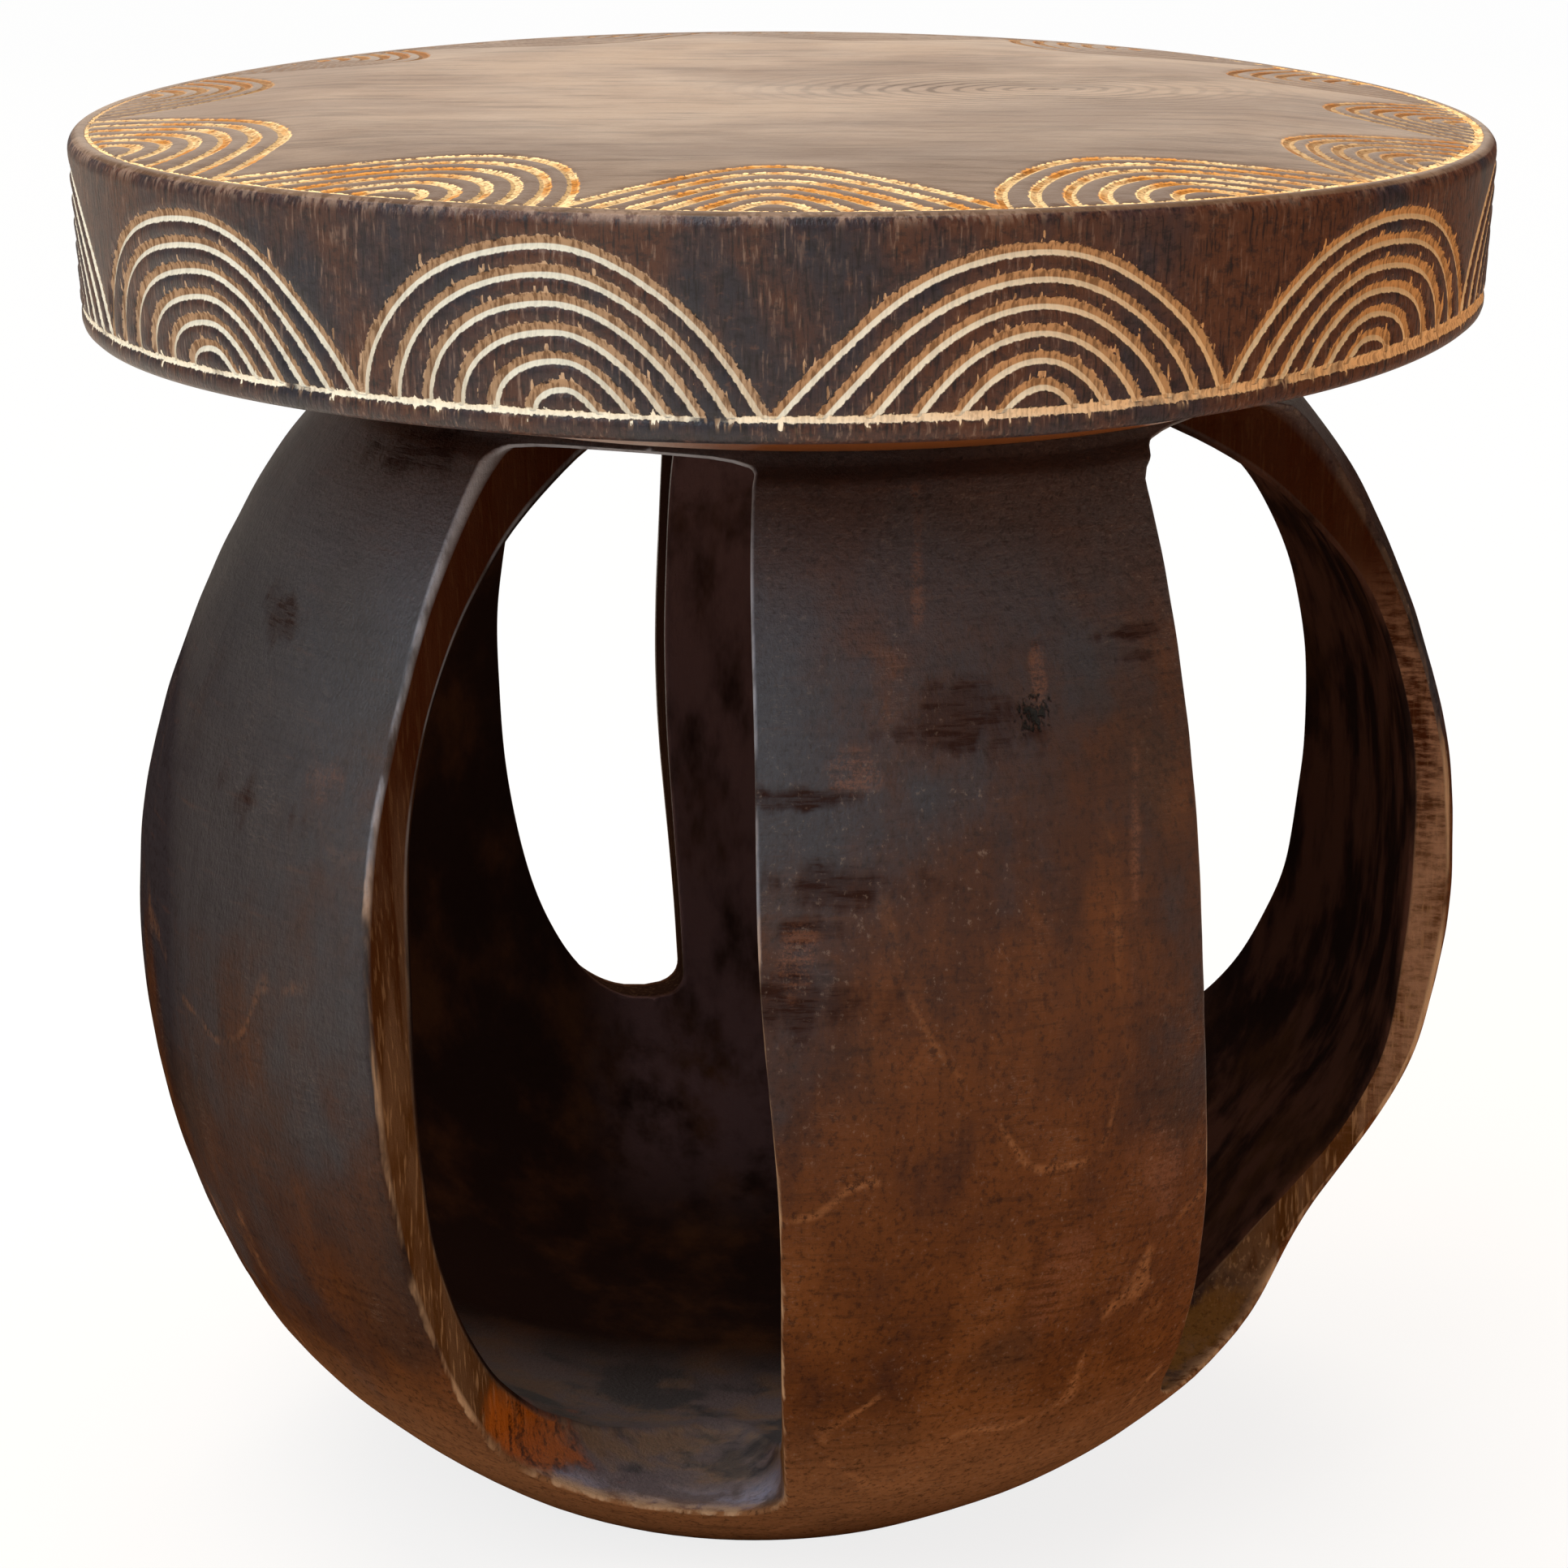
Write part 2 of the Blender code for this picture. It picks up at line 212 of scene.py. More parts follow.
grids = []
for stave in range(stave_count):
    after = (stave + 1) % stave_count
    outer_rows, inner_rows, left_rows, right_rows = [], [], [], []
    for height in rows:
        _, start, open_left = opening_edges(stave, height)
        end, _, open_right = opening_edges(after, height)
        if end < start:
            end += 2 * math.pi
        outside = outer_radius(height)
        inside = inner_radius(height)
        thin = 0.0
        if stave == thin_stave:
            thin = thin_by * (1 - min(abs(height - thin_middle) / thin_reach, 1.0) ** 4)
        places = [start + (end - start) * share for share in spread(end - start, outside, outer_columns)]
        outer_rows.append([add_point(angle, outside, height, outside_kind) for angle in places])
        if not floor_inside < height < neck_top:
            inner_rows.append(None)
            left_rows.append(None)
            right_rows.append(None)
            continue
        inner = []
        for share in spread(end - start, inside, inner_columns):
            angle = start + (end - start) * share
            near = max(1 - (angle - start) / math.radians(thin_degrees), 0.0)
            low = min(max((floor_fade_top - height) / floor_fade, 0.0), 1.0)
            inner.append(add_point(angle, inside + thin * near**2, height, inside_kind, low))
        inner_rows.append(inner)
        left, right = [outer_rows[-1][0]], [outer_rows[-1][-1]]
        sills = []
        for hole, side in ((openings[stave], 1), (openings[after], 0)):
            above = (height - hole["sill"]) / min(hole["corners"][side], sill_reach)
            sills.append(min(max(1.35 - 1.1 * above, 0.0), 1.0))
        for i in range(1, side_steps):
            share = i / side_steps
            across = outside + (inside + thin - outside) * share
            left.append(add_point(start, across, height, cut_kind, sills[0]))
            across = outside + (inside - outside) * share
            right.append(add_point(end, across, height, cut_kind, sills[1]))
        left_rows.append((left + [inner[0]], open_left))
        right_rows.append((right + [inner[-1]], open_right))
        at_left = open_left or height in (openings[stave]["sill"], lintel)
        at_right = open_right or height in (openings[after]["sill"], lintel)
        for here, column in ((at_left, 0), (at_right, -1)):
            if here:
                edge_points[outside_kind].append(outer_rows[-1][column])
                edge_points[inside_kind].append(inner[column])
    grids.append((outer_rows, inner_rows, left_rows, right_rows))


def bridge(lower, upper, flip):
    for i in range(len(lower) - 1):
        quad = (lower[i], lower[i + 1], upper[i + 1], upper[i])
        faces.append(quad[::-1] if flip else quad)


for outer_rows, inner_rows, left_rows, right_rows in grids:
    for i in range(len(rows) - 1):
        bridge(outer_rows[i], outer_rows[i + 1], False)
        if inner_rows[i] is None or inner_rows[i + 1] is None:
            continue
        bridge(inner_rows[i], inner_rows[i + 1], True)
        for side, flip in ((left_rows, True), (right_rows, False)):
            if side[i][1] or side[i + 1][1]:
                bridge(side[i][0], side[i + 1][0], flip)

# The flat foot, and the floor and ceiling of the hollow, each close on a middle point.
foot_middle = add_point(0.0, 0.0, 0.0, outside_kind)
crown_middle = add_point(0.0, 0.0, rows[-1], outside_kind)
floor_middle = add_point(0.0, 0.0, floor_inside, inside_kind, 1.0)
ceiling_middle = add_point(0.0, 0.0, neck_top, inside_kind)
for outer_rows, inner_rows, _, _ in grids:
    hollow_rows = [row for row in inner_rows if row is not None]
    for row, middle, flip in (
        (outer_rows[0], foot_middle, True),
        (outer_rows[-1], crown_middle, False),
        (hollow_rows[0], floor_middle, False),
        (hollow_rows[-1], ceiling_middle, True),
    ):
        for i in range(len(row) - 1):
            triangle = (row[i], row[i + 1], middle)
            faces.append(triangle[::-1] if flip else triangle)

# Distance of every point from the nearest edge of an opening, on its own face of the wall.
points = np.array(points)
point_kind = np.array(point_kind)
edge_distance = np.zeros(len(points))
for kind in (outside_kind, inside_kind):
    near_edge = kdtree.KDTree(len(edge_points[kind]))
    for number, index in enumerate(edge_points[kind]):
        near_edge.insert(Vector(points[index]), number)
    near_edge.balance()
    for index in np.nonzero(point_kind == kind)[0]:
        edge_distance[index] = near_edge.find(Vector(points[index]))[2]

# Edges are eased, and the hewn surface is never quite true.
dished_floor_top = 0.045
true_foot = 0.02
broad_depth = 0.0017
scrape_depth = 0.0003
gouge_depth = 0.0008
out_x = points[:, 0] - axis_x(points[:, 2])
half = np.where(points[:, 2] > globe_widest, upper_half, lower_half)
normals = np.stack([out_x / globe_radius**2, points[:, 1] / globe_radius**2,
                    (points[:, 2] - globe_widest) / half**2], 1)
normals /= np.linalg.norm(normals, axis=1)[:, None]
reach = np.clip(edge_round - edge_distance, 0.0, edge_round)
sink = edge_round - np.sqrt(np.maximum(edge_round**2 - reach**2, 0.0))
sink[point_kind == cut_kind] = 0.0
sink[(point_kind == inside_kind) & (points[:, 2] < dished_floor_top)] = 0.0
unevenness = np.zeros(len(points))
for index, (x, y, z) in enumerate(points):
    broad = noise.noise(Vector((x * 15, y * 15, z * 10 + 4.0)))
    scraped = noise.noise(Vector((x * 24 + 9.0, y * 24, z * 75)))
    gouged = noise.noise(Vector((x * 50, y * 50 + 7.0, z * 34)))
    if point_kind[index] == outside_kind:
        unevenness[index] = broad_depth * broad + scrape_depth * (scraped + gouged)
    else:
        unevenness[index] = broad_depth * broad + gouge_depth * gouged
unevenness *= np.clip(points[:, 2] / true_foot, 0.0, 1.0)
points += normals * unevenness[:, None]
points -= normals * np.where(point_kind == inside_kind, -sink, sink)[:, None]


def keep_values(mesh, name, values):
    """Keeps one value for each point of a mesh, for its material to read."""
    attribute = mesh.attributes.new(name, "FLOAT", "POINT")
    attribute.data.foreach_set("value", np.asarray(values, np.float32))


def close_skin():
    """Merges the active mesh where its rows meet, and turns its faces outwards."""
    bpy.ops.object.mode_set(mode="EDIT")
    bpy.ops.mesh.select_all(action="SELECT")
    bpy.ops.mesh.remove_doubles(threshold=0.00001)
    bpy.ops.mesh.delete_loose()
    bpy.ops.mesh.select_all(action="SELECT")
    bpy.ops.mesh.normals_make_consistent(inside=False)
    bpy.ops.object.mode_set(mode="OBJECT")
    bpy.ops.object.shade_smooth()


globe_mesh = bpy.data.meshes.new("carved_globe")
globe_mesh.from_pydata(points.tolist(), [], faces)
keep_values(globe_mesh, "edge_mm", edge_distance * 1000.0)
keep_values(globe_mesh, "cut_face", point_kind == cut_kind)
keep_values(globe_mesh, "hollow", point_kind == inside_kind)
keep_values(globe_mesh, "floor", point_floor)
globe = bpy.data.objects.new("carved_globe", globe_mesh)
bpy.context.scene.collection.objects.link(globe)
globe.select_set(True)
bpy.context.view_layer.objects.active = globe
close_skin()


def new_finish(name):
    """A new material, its node tree and its shader."""
    finish = bpy.data.materials.new(name)
    finish.use_nodes = True
    return finish, finish.node_tree, finish.node_tree.nodes["Principled BSDF"]


def node(tree, kind, **settings):
    """Adds a shader node; inputs are given by their names with underscores for spaces."""
    new = tree.nodes.new(kind)
    for name, value in settings.items():
        socket = new.inputs.get(name.replace("_", " "))
        if socket is not None and not hasattr(type(new), name):
            socket.default_value = value
        else:
            setattr(new, name, value)
    return new


def grain_noise(tree, scale, detail=4.0, roughness=0.55, seed=(0.0, 0.0, 0.0)):
    """Noise on Object coordinates, stretched by a scale on each axis."""
    where = node(tree, "ShaderNodeTexCoord")
    place = node(tree, "ShaderNodeMapping")
    place.inputs["Scale"].default_value = scale
    place.inputs["Location"].default_value = seed
    tree.links.new(where.outputs["Object"], place.inputs["Vector"])
    texture = node(tree, "ShaderNodeTexNoise", Scale=1.0, Detail=detail, Roughness=roughness)
    tree.links.new(place.outputs["Vector"], texture.inputs["Vector"])
    return texture.outputs["Fac"]


def ramp(tree, source, low, high):
    """Turns source from low to high into 0 to 1, clamped and eased."""
    ranged = node(tree, "ShaderNodeMapRange", interpolation_type="SMOOTHSTEP")
    ranged.inputs["From Min"].default_value = low
    ranged.inputs["From Max"].default_value = high
    tree.links.new(source, ranged.inputs["Value"])
    return ranged.outputs["Result"]


def calc(tree, operation, *values):
    """A math node on sockets and numbers."""
    made = node(tree, "ShaderNodeMath", operation=operation)
    for socket, value in zip(made.inputs, values):
        if isinstance(value, (int, float)):
            socket.default_value = value
        else:
            tree.links.new(value, socket)
    return made.outputs["Value"]


def times(tree, first, second):
    return calc(tree, "MULTIPLY", first, second)


def plus(tree, first, second):
    return calc(tree, "ADD", first, second)


def larger(tree, first, second):
    return calc(tree, "MAXIMUM", first, second)


def times_plus(tree, first, second, added):
    return calc(tree, "MULTIPLY_ADD", first, second, added)


def rest_of(tree, share):
    return calc(tree, "SUBTRACT", 1.0, share)


def blend(tree, share, first, second):
    """Colour between first and second by share."""
    made = node(tree, "ShaderNodeMix", data_type="RGBA")
    for socket, value in ((made.inputs[0], share), (made.inputs[6], first), (made.inputs[7], second)):
        if isinstance(value, tuple):
            socket.default_value = (*value, 1.0)
        elif isinstance(value, (int, float)):
            socket.default_value = value
        else:
            tree.links.new(value, socket)
    return made.outputs[2]


def coat(tree, under, colour, share, strength):
    """A colour laid over another, by a share of its full strength."""
    return blend(tree, times(tree, share, strength), under, colour)


def place_on(tree):
    """The three Object coordinates of a place on the piece."""
    here = node(tree, "ShaderNodeSeparateXYZ")
    tree.links.new(node(tree, "ShaderNodeTexCoord").outputs["Object"], here.inputs["Vector"])
    return here.outputs["X"], here.outputs["Y"], here.outputs["Z"]


def point_value(tree, name):
    return node(tree, "ShaderNodeAttribute", attribute_name=name).outputs["Fac"]


def raise_relief(tree, shader, height, strength, distance):
    """Fine relief that is too small for the mesh."""
    bump = node(tree, "ShaderNodeBump", Strength=strength, Distance=distance)
    tree.links.new(height, bump.inputs["Height"])
    tree.links.new(bump.outputs["Normal"], shader.inputs["Normal"])


def spot(tree, centre, reach, ragged):
    """1 in the middle of a patch, falling to 0 at its ragged edge."""
    away = node(tree, "ShaderNodeVectorMath", operation="SUBTRACT")
    tree.links.new(node(tree, "ShaderNodeTexCoord").outputs["Object"], away.inputs[0])
    away.inputs[1].default_value = centre
    scaled = node(tree, "ShaderNodeVectorMath", operation="DIVIDE")
    tree.links.new(away.outputs["Vector"], scaled.inputs[0])
    scaled.inputs[1].default_value = reach
    far = node(tree, "ShaderNodeVectorMath", operation="LENGTH")
    tree.links.new(scaled.outputs["Vector"], far.inputs[0])
    edge = times_plus(tree, ragged, 4.0, -2.0)
    return ramp(tree, plus(tree, far.outputs["Value"], edge), 1.0, 0.20)


slate_and_painted_sheen = (0.0290, 0.0245, 0.0275)
umber = (0.0480, 0.0165, 0.0080)
red_brown = (0.0980, 0.0300, 0.0085)
orange_brown = (0.1700, 0.0560, 0.0160)
soot = (0.0110, 0.0060, 0.0050)
cut_dark = (0.0400, 0.0095, 0.0028)
cut_brown = (0.0780, 0.0260, 0.0065)
cut_fleck = (0.3800, 0.1900, 0.0800)
edge_tan = (0.4200, 0.2400, 0.1300)
pale_scratch_and_glint = (0.2500, 0.1700, 0.1250)
hollow_black = (0.0170, 0.0078, 0.0055)
hollow_brown = (0.0620, 0.0230, 0.0090)
floor_plum = (0.1150, 0.0720, 0.0700)
floor_olive = (0.1850, 0.0780, 0.0180)
floor_orange = (0.3600, 0.0780, 0.0080)
tide_orange = (0.270, 0.105, 0.038)
blotch_brown = (0.0250, 0.0160, 0.0120)
painted_left_shade = (0.0200, 0.0110, 0.0080)
painted_glow_tan = (0.250, 0.104, 0.042)
painted_light_plum = (0.0720, 0.0490, 0.0480)
torn_dark = (0.0190, 0.0062, 0.0038)
bare_tan = (0.190, 0.072, 0.036)
knot_black = (0.006, 0.005, 0.004)
rasped_tan = (0.230, 0.105, 0.056)
cut_black = (0.0120, 0.0060, 0.0050)
painted_lit_plum = (0.0980, 0.0520, 0.0500)
hollow_red = (0.0850, 0.0320, 0.0190)
floor_tan = (0.160, 0.078, 0.040)
floor_dark = (0.026, 0.018, 0.020)
painted_lip_sheen = (0.260, 0.240, 0.310)
rust_dark = (0.075, 0.017, 0.004)
painted_highlight_grey = (0.330, 0.320, 0.350)

globe_wood, tree, shader = new_finish("waxed_dark_wood")
patches = grain_noise(tree, (10.0, 10.0, 7.0), 4.0, 0.6)
clouds = grain_noise(tree, (24.0, 24.0, 14.0), 6.0, 0.62, (5.0, 5.0, 9.0))
smears = grain_noise(tree, (60.0, 60.0, 22.0), 4.0, 0.6, (2.0, 9.0, 4.0))
streaks = grain_noise(tree, (210.0, 210.0, 9.0), 3.0, 0.6, (3.0, 1.0, 0.0))
fibres = grain_noise(tree, (900.0, 900.0, 90.0), 2.0, 0.5, (7.0, 2.0, 5.0))
scraped = grain_noise(tree, (60.0, 60.0, 520.0), 4.0, 0.65, (1.0, 8.0, 2.0))
pores = grain_noise(tree, (950.0, 950.0, 420.0), 2.0, 0.5, (2.0, 6.0, 4.0))
grit = grain_noise(tree, (1250.0, 1250.0, 1250.0), 4.0, 0.7, (9.0, 4.0, 6.0))
brushed = grain_noise(tree, (42.0, 42.0, 380.0), 5.0, 0.68, (4.0, 2.0, 8.0))
crazed = grain_noise(tree, (560.0, 560.0, 430.0), 5.0, 0.72, (3.0, 5.0, 1.0))
loops = grain_noise(tree, (13.0, 13.0, 10.0), 1.6, 0.5, (8.0, 1.0, 6.0))
at_x, at_y, at_z = place_on(tree)
low_down = ramp(tree, at_z, 0.29, 0.08)
to_right = ramp(tree, at_x, -0.10, 0.09)
cut = point_value(tree, "cut_face")
hollow = point_value(tree, "hollow")
sill = point_value(tree, "floor")
edge = point_value(tree, "edge_mm")

# Outside: slate-dark and waxed high up, the slate lightened and blued as painted cool sheen; browner and
# redder where it is rubbed dry low down.
warmth = times_plus(tree, low_down, 0.80, times(tree, to_right, 0.38))
warmth = plus(tree, warmth, times_plus(tree, clouds, 2.2, -1.10))
to_left = ramp(tree, at_x, -0.09, -0.16)
warmth = calc(tree, "SUBTRACT", warmth, times(tree, to_left, 0.16))
outside = blend(tree, ramp(tree, warmth, 0.05, 0.62), slate_and_painted_sheen, umber)
rubbed = ramp(tree, times_plus(tree, smears, 1.2, warmth), 1.05, 1.60)
outside = coat(tree, outside, red_brown, rubbed, 0.90)
bright = ramp(tree, times_plus(tree, smears, 1.3, warmth), 1.60, 2.15)
outside = coat(tree, outside, orange_brown, bright, 0.55)
tide = ramp(tree, calc(tree, "ABSOLUTE", calc(tree, "SUBTRACT", loops, 0.53)), 0.014, 0.002)
tide = times(tree, times(tree, tide, ramp(tree, smears, 0.42, 0.58)), low_down)
tide = times(tree, tide, ramp(tree, crazed, 0.36, 0.54))
outside = coat(tree, outside, tide_orange, tide, 0.65)
blotches = times(tree, ramp(tree, loops, 0.44, 0.34), 0.55)
outside = blend(tree, blotches, outside, blotch_brown)
# Painted shade: the left side of the outside is darkened towards brown-black.
outside = coat(tree, outside, painted_left_shade, to_left, 0.38)
# Painted reflected light: a warm tan glow from the floor, near the foot.
painted_floor_glow = ramp(tree, at_z, 0.085, 0.03)
outside = coat(tree, outside, painted_glow_tan, painted_floor_glow, 0.75)
# Painted light: the tops of the staves, where the seat's shadow falls, are lightened towards plum.
painted_light_under_seat = ramp(tree, at_z, 0.285, 0.335)
outside = coat(tree, outside, painted_light_plum, painted_light_under_seat, 0.60)
dark_grain = times(tree, ramp(tree, streaks, 0.46, 0.74), 0.20)
outside = blend(tree, dark_grain, outside, soot)
outside = coat(tree, outside, soot, ramp(tree, brushed, 0.48, 0.34), 0.26)
outside = coat(tree, outside, orange_brown, ramp(tree, brushed, 0.56, 0.74), 0.12)
outside = coat(tree, outside, soot, ramp(tree, crazed, 0.50, 0.34), 0.56)
scratch = calc(tree, "ABSOLUTE", calc(tree, "SUBTRACT", brushed, 0.5))
scratch = times(tree, ramp(tree, scratch, 0.006, 0.001), ramp(tree, smears, 0.52, 0.66))
outside = coat(tree, outside, pale_scratch_and_glint, scratch, 0.32)

# Torn grain on the front and left staves, a knot hole, and places where the stain has rubbed through.
# Each mark: the middle of its place, and its reach sideways and up.
mark_depth = 0.05
torn_marks = [
    (0.007, -0.190, 0.2625, 0.014, 0.0030), (0.010, -0.197, 0.2393, 0.026, 0.0070),
    (0.006, -0.199, 0.2286, 0.012, 0.0050), (0.011, -0.200, 0.2090, 0.025, 0.0105),
    (0.030, -0.183, 0.2790, 0.010, 0.0035), (0.046, -0.178, 0.2810, 0.022, 0.0110),
    (0.094, -0.152, 0.2990, 0.020, 0.0026), (0.098, -0.151, 0.2930, 0.015, 0.0022),
    (-0.108, -0.105, 0.3380, 0.034, 0.0070), (-0.143, -0.099, 0.2900, 0.008, 0.0080),
    (-0.150, -0.118, 0.2420, 0.016, 0.0100),
]
bare_marks = [
    (0.018, -0.187, 0.2700, 0.010, 0.0060), (0.005, -0.200, 0.2220, 0.008, 0.0110),
    (0.069, -0.172, 0.2900, 0.003, 0.0080), (0.096, -0.174, 0.2400, 0.0022, 0.0330),
    (0.036, -0.163, 0.3180, 0.0024, 0.0220), (-0.131, -0.137, 0.2540, 0.006, 0.0070),
    (0.078, -0.172, 0.1160, 0.012, 0.0190), (0.102, -0.170, 0.1500, 0.009, 0.0160),
]


def strongest(tree, marks, ragged):
    """The strongest of several marks at a place."""
    most = None
    for x, y, z, wide, tall in marks:
        mark = spot(tree, (x, y, z), (wide, mark_depth, tall), ragged)
        most = mark if most is None else larger(tree, most, mark)
    return most


hacked = ramp(tree, scraped, 0.44, 0.60)
torn_places = strongest(tree, torn_marks, smears)
torn_places = times(tree, torn_places, times_plus(tree, hacked, 0.45, 0.55))
outside = coat(tree, outside, torn_dark, torn_places, 0.95)
# Painted glints: pale flecks on the grain stand for specular glints.
painted_glint = times(tree, ramp(tree, crazed, 0.58, 0.70), ramp(tree, patches, 0.36, 0.56))
painted_glint = times(tree, painted_glint, ramp(tree, at_x, -0.16, -0.02))
outside = coat(tree, outside, pale_scratch_and_glint, painted_glint, 0.32)
bare_places = strongest(tree, bare_marks, smears)
bare_places = times(tree, bare_places, ramp(tree, plus(tree, grit, brushed), 0.84, 1.16))
outside = coat(tree, outside, bare_tan, bare_places, 0.42)
knot = spot(tree, (0.0679, -0.1727, 0.2814), (0.0042, 0.02, 0.0042), pores)
outside = blend(tree, knot, outside, knot_black)

# Cut faces of the openings: dark red-brown, paler and torn into bright fibres towards the foot.
cut_colour = blend(tree, ramp(tree, plus(tree, low_down, clouds), 0.55, 1.25), cut_dark, cut_brown)
torn = times(tree, ramp(tree, fibres, 0.54, 0.68), times_plus(tree, low_down, 0.85, 0.06))
cut_colour = coat(tree, cut_colour, cut_fleck, torn, 0.60)
rasped = grain_noise(tree, (150.0, 150.0, 620.0), 4.0, 0.7, (6.0, 6.0, 1.0))
band = times(tree, ramp(tree, at_x, 0.11, 0.15), ramp(tree, at_z, 0.09, 0.15))
band = times(tree, band, ramp(tree, at_z, 0.30, 0.255))
band = times(tree, band, ramp(tree, plus(tree, rasped, smears), 0.78, 1.16))
cut_colour = blend(tree, band, cut_colour, rasped_tan)
backward = ramp(tree, at_y, 0.0, 0.07)
cut_colour = coat(tree, cut_colour, cut_black, backward, 0.85)
colour = blend(tree, cut, outside, cut_colour)

# The hollow is near black; its floor is rubbed plum and olive, and red-orange in the front left corner.
inside = blend(tree, ramp(tree, clouds, 0.46, 0.74), hollow_black, hollow_brown)
# Painted light: the back wall of the hollow is lightened towards plum, in patches.
painted_light_behind = times(tree, ramp(tree, at_y, 0.08, 0.15), ramp(tree, at_x, -0.075, -0.045))
inside = blend(tree, times(tree, painted_light_behind, ramp(tree, smears, 0.26, 0.60)), inside, painted_lit_plum)
rightward = times(tree, ramp(tree, at_x, 0.08, 0.15), ramp(tree, smears, 0.40, 0.62))
inside = coat(tree, inside, hollow_red, rightward, 0.8)
colour = blend(tree, hollow, colour, inside)
floor_colour = blend(tree, ramp(tree, at_x, 0.03, 0.09), floor_plum, floor_olive)
floor_colour = blend(tree, ramp(tree, smears, 0.46, 0.62), floor_colour, floor_tan)
floor_colour = blend(tree, ramp(tree, clouds, 0.50, 0.42), floor_colour, floor_dark)
# Painted highlight: a bluish-white sheen on the hollow's floor near its front lip.
painted_lip_highlight = times(tree, ramp(tree, at_y, -0.098, -0.116), ramp(tree, smears, 0.40, 0.56))
floor_colour = coat(tree, floor_colour, painted_lip_sheen, painted_lip_highlight, 0.75)
rust = spot(tree, (-0.0770, -0.1000, 0.044), (0.019, 0.046, 0.026), smears)
floor_colour = coat(tree, floor_colour, soot, ramp(tree, crazed, 0.50, 0.34), 0.45)
front_floor = times(tree, sill, ramp(tree, at_y, 0.02, -0.06))
colour = blend(tree, front_floor, colour, floor_colour)
rust = times(tree, rust, larger(tree, front_floor, cut))
rust_colour = ramp(tree, plus(tree, streaks, crazed), 1.06, 0.84)
rust_colour = blend(tree, rust_colour, floor_orange, rust_dark)
colour = coat(tree, colour, rust_colour, rust, 0.90)

# Bruised edges, in patches, and a painted highlight along the upper edges on the left.
ragged = plus(tree, edge, times_plus(tree, streaks, -5.0, 1.5))
worn = times(tree, ramp(tree, ragged, -0.2, -1.2), rest_of(tree, hollow))
worn = times(tree, worn, times_plus(tree, ramp(tree, at_z, 0.27, 0.22), 0.75, 0.10))
worn = times(tree, worn, rest_of(tree, times(tree, cut, 0.85)))
worn = times(tree, worn, ramp(tree, smears, 0.34, 0.56))
worn = times(tree, worn, rest_of(tree, backward))
colour = blend(tree, worn, colour, edge_tan)
# Painted highlight: a thin pale grey line along the upper edges of the openings on the left.
painted_edge_highlight = times(tree, ramp(tree, edge, 1.3, 0.3), rest_of(tree, larger(tree, cut, hollow)))
painted_edge_highlight = times(tree, painted_edge_highlight, ramp(tree, at_z, 0.20, 0.26))
painted_edge_highlight = times(tree, painted_edge_highlight, ramp(tree, at_x, 0.08, 0.02))
painted_edge_highlight = times(tree, painted_edge_highlight, ramp(tree, smears, 0.36, 0.56))
colour = coat(tree, colour, painted_highlight_grey, painted_edge_highlight, 0.80)
tree.links.new(colour, shader.inputs["Base Color"])

# Wax keeps a soft shine on the upper outside and the floor; dry and cut wood has next to none.
waxed = ramp(tree, at_z, 0.05, 0.30)
shine = plus(tree, times(tree, waxed, 0.58), times_plus(tree, clouds, -0.30, 0.15))
shine = times(tree, shine, waxed)
shine = times(tree, shine, times_plus(tree, to_right, -0.70, 1.0))
shine = times(tree, shine, times_plus(tree, torn_places, -0.85, 1.0))
shine = times(tree, shine, ramp(tree, at_x, -0.182, -0.110))
shine = times(tree, shine, rest_of(tree, larger(tree, cut, hollow)))
shine = times(tree, shine, ramp(tree, at_x, 0.17, 0.11))
on_plum = times(tree, front_floor, ramp(tree, at_x, 0.06, 0.02))
shine = larger(tree, shine, times(tree, on_plum, 0.60))
tree.links.new(larger(tree, shine, 0.0), shader.inputs["Specular IOR Level"])
rough = times_plus(tree, clouds, 0.30, 0.28)
tree.links.new(rough, shader.inputs["Roughness"])
relief = times(tree, fibres, 0.20)
for source, tall in ((streaks, 0.14), (scraped, 0.34), (grit, 0.30), (brushed, 0.30), (crazed, 0.70),
                     (pores, 0.34), (torn_places, -0.6), (knot, -2.5)):
    relief = times_plus(tree, source, tall, relief)
raise_relief(tree, shader, relief, 0.8, 0.0009)
globe.data.materials.append(globe_wood)
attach(globe, "root")
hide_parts("base", "neck", "leg_front", "leg_right", "leg_back", "leg_back_left", "leg_left")

# Seat: the thick round slab at the top of the log, its end grain up, its rim cut square across
# the standing grain. Rows of nested arches are gouged round the rim and round the edge of the
# top, through the stain into pale raw wood, over a ring groove near the rim's lower edge.
seat_radius = 0.2117
rim_taper = 0.0026
rim_top = 0.4212
rim_saddle = 0.0022
crown = 0.0053
flat_radius = 0.138
rim_foot = 0.3630
brow_across = 0.0036
brow_down = 0.0046
edge_soft = 0.004
lower_round = 0.003
seat_columns = 700
arch_first = 0.17
arch_step = 0.166
arch_last = 5
lift_height, lift_degrees, lift_spread = 0.0047, 75.0, 62.0
tilt_front, tilt_right = 0.0008, 0.0007
saddle_from = 0.09
neck_clear = 0.02
rim_cut_depth, rim_cut_reach = 0.0009, 3.2
top_cut_depth, top_cut_reach = 0.0008, 3.6
no_groove = 99.0
past_rim = 0.060
rim_ring_shallow, top_ring_shallow = 0.8, 1.0
nest_fill = 0.985
probe = 0.01
least_slope = 0.004
top_flat_rows, top_fall_rows, brow_rows, rim_rows = 5, 59, 10, 57

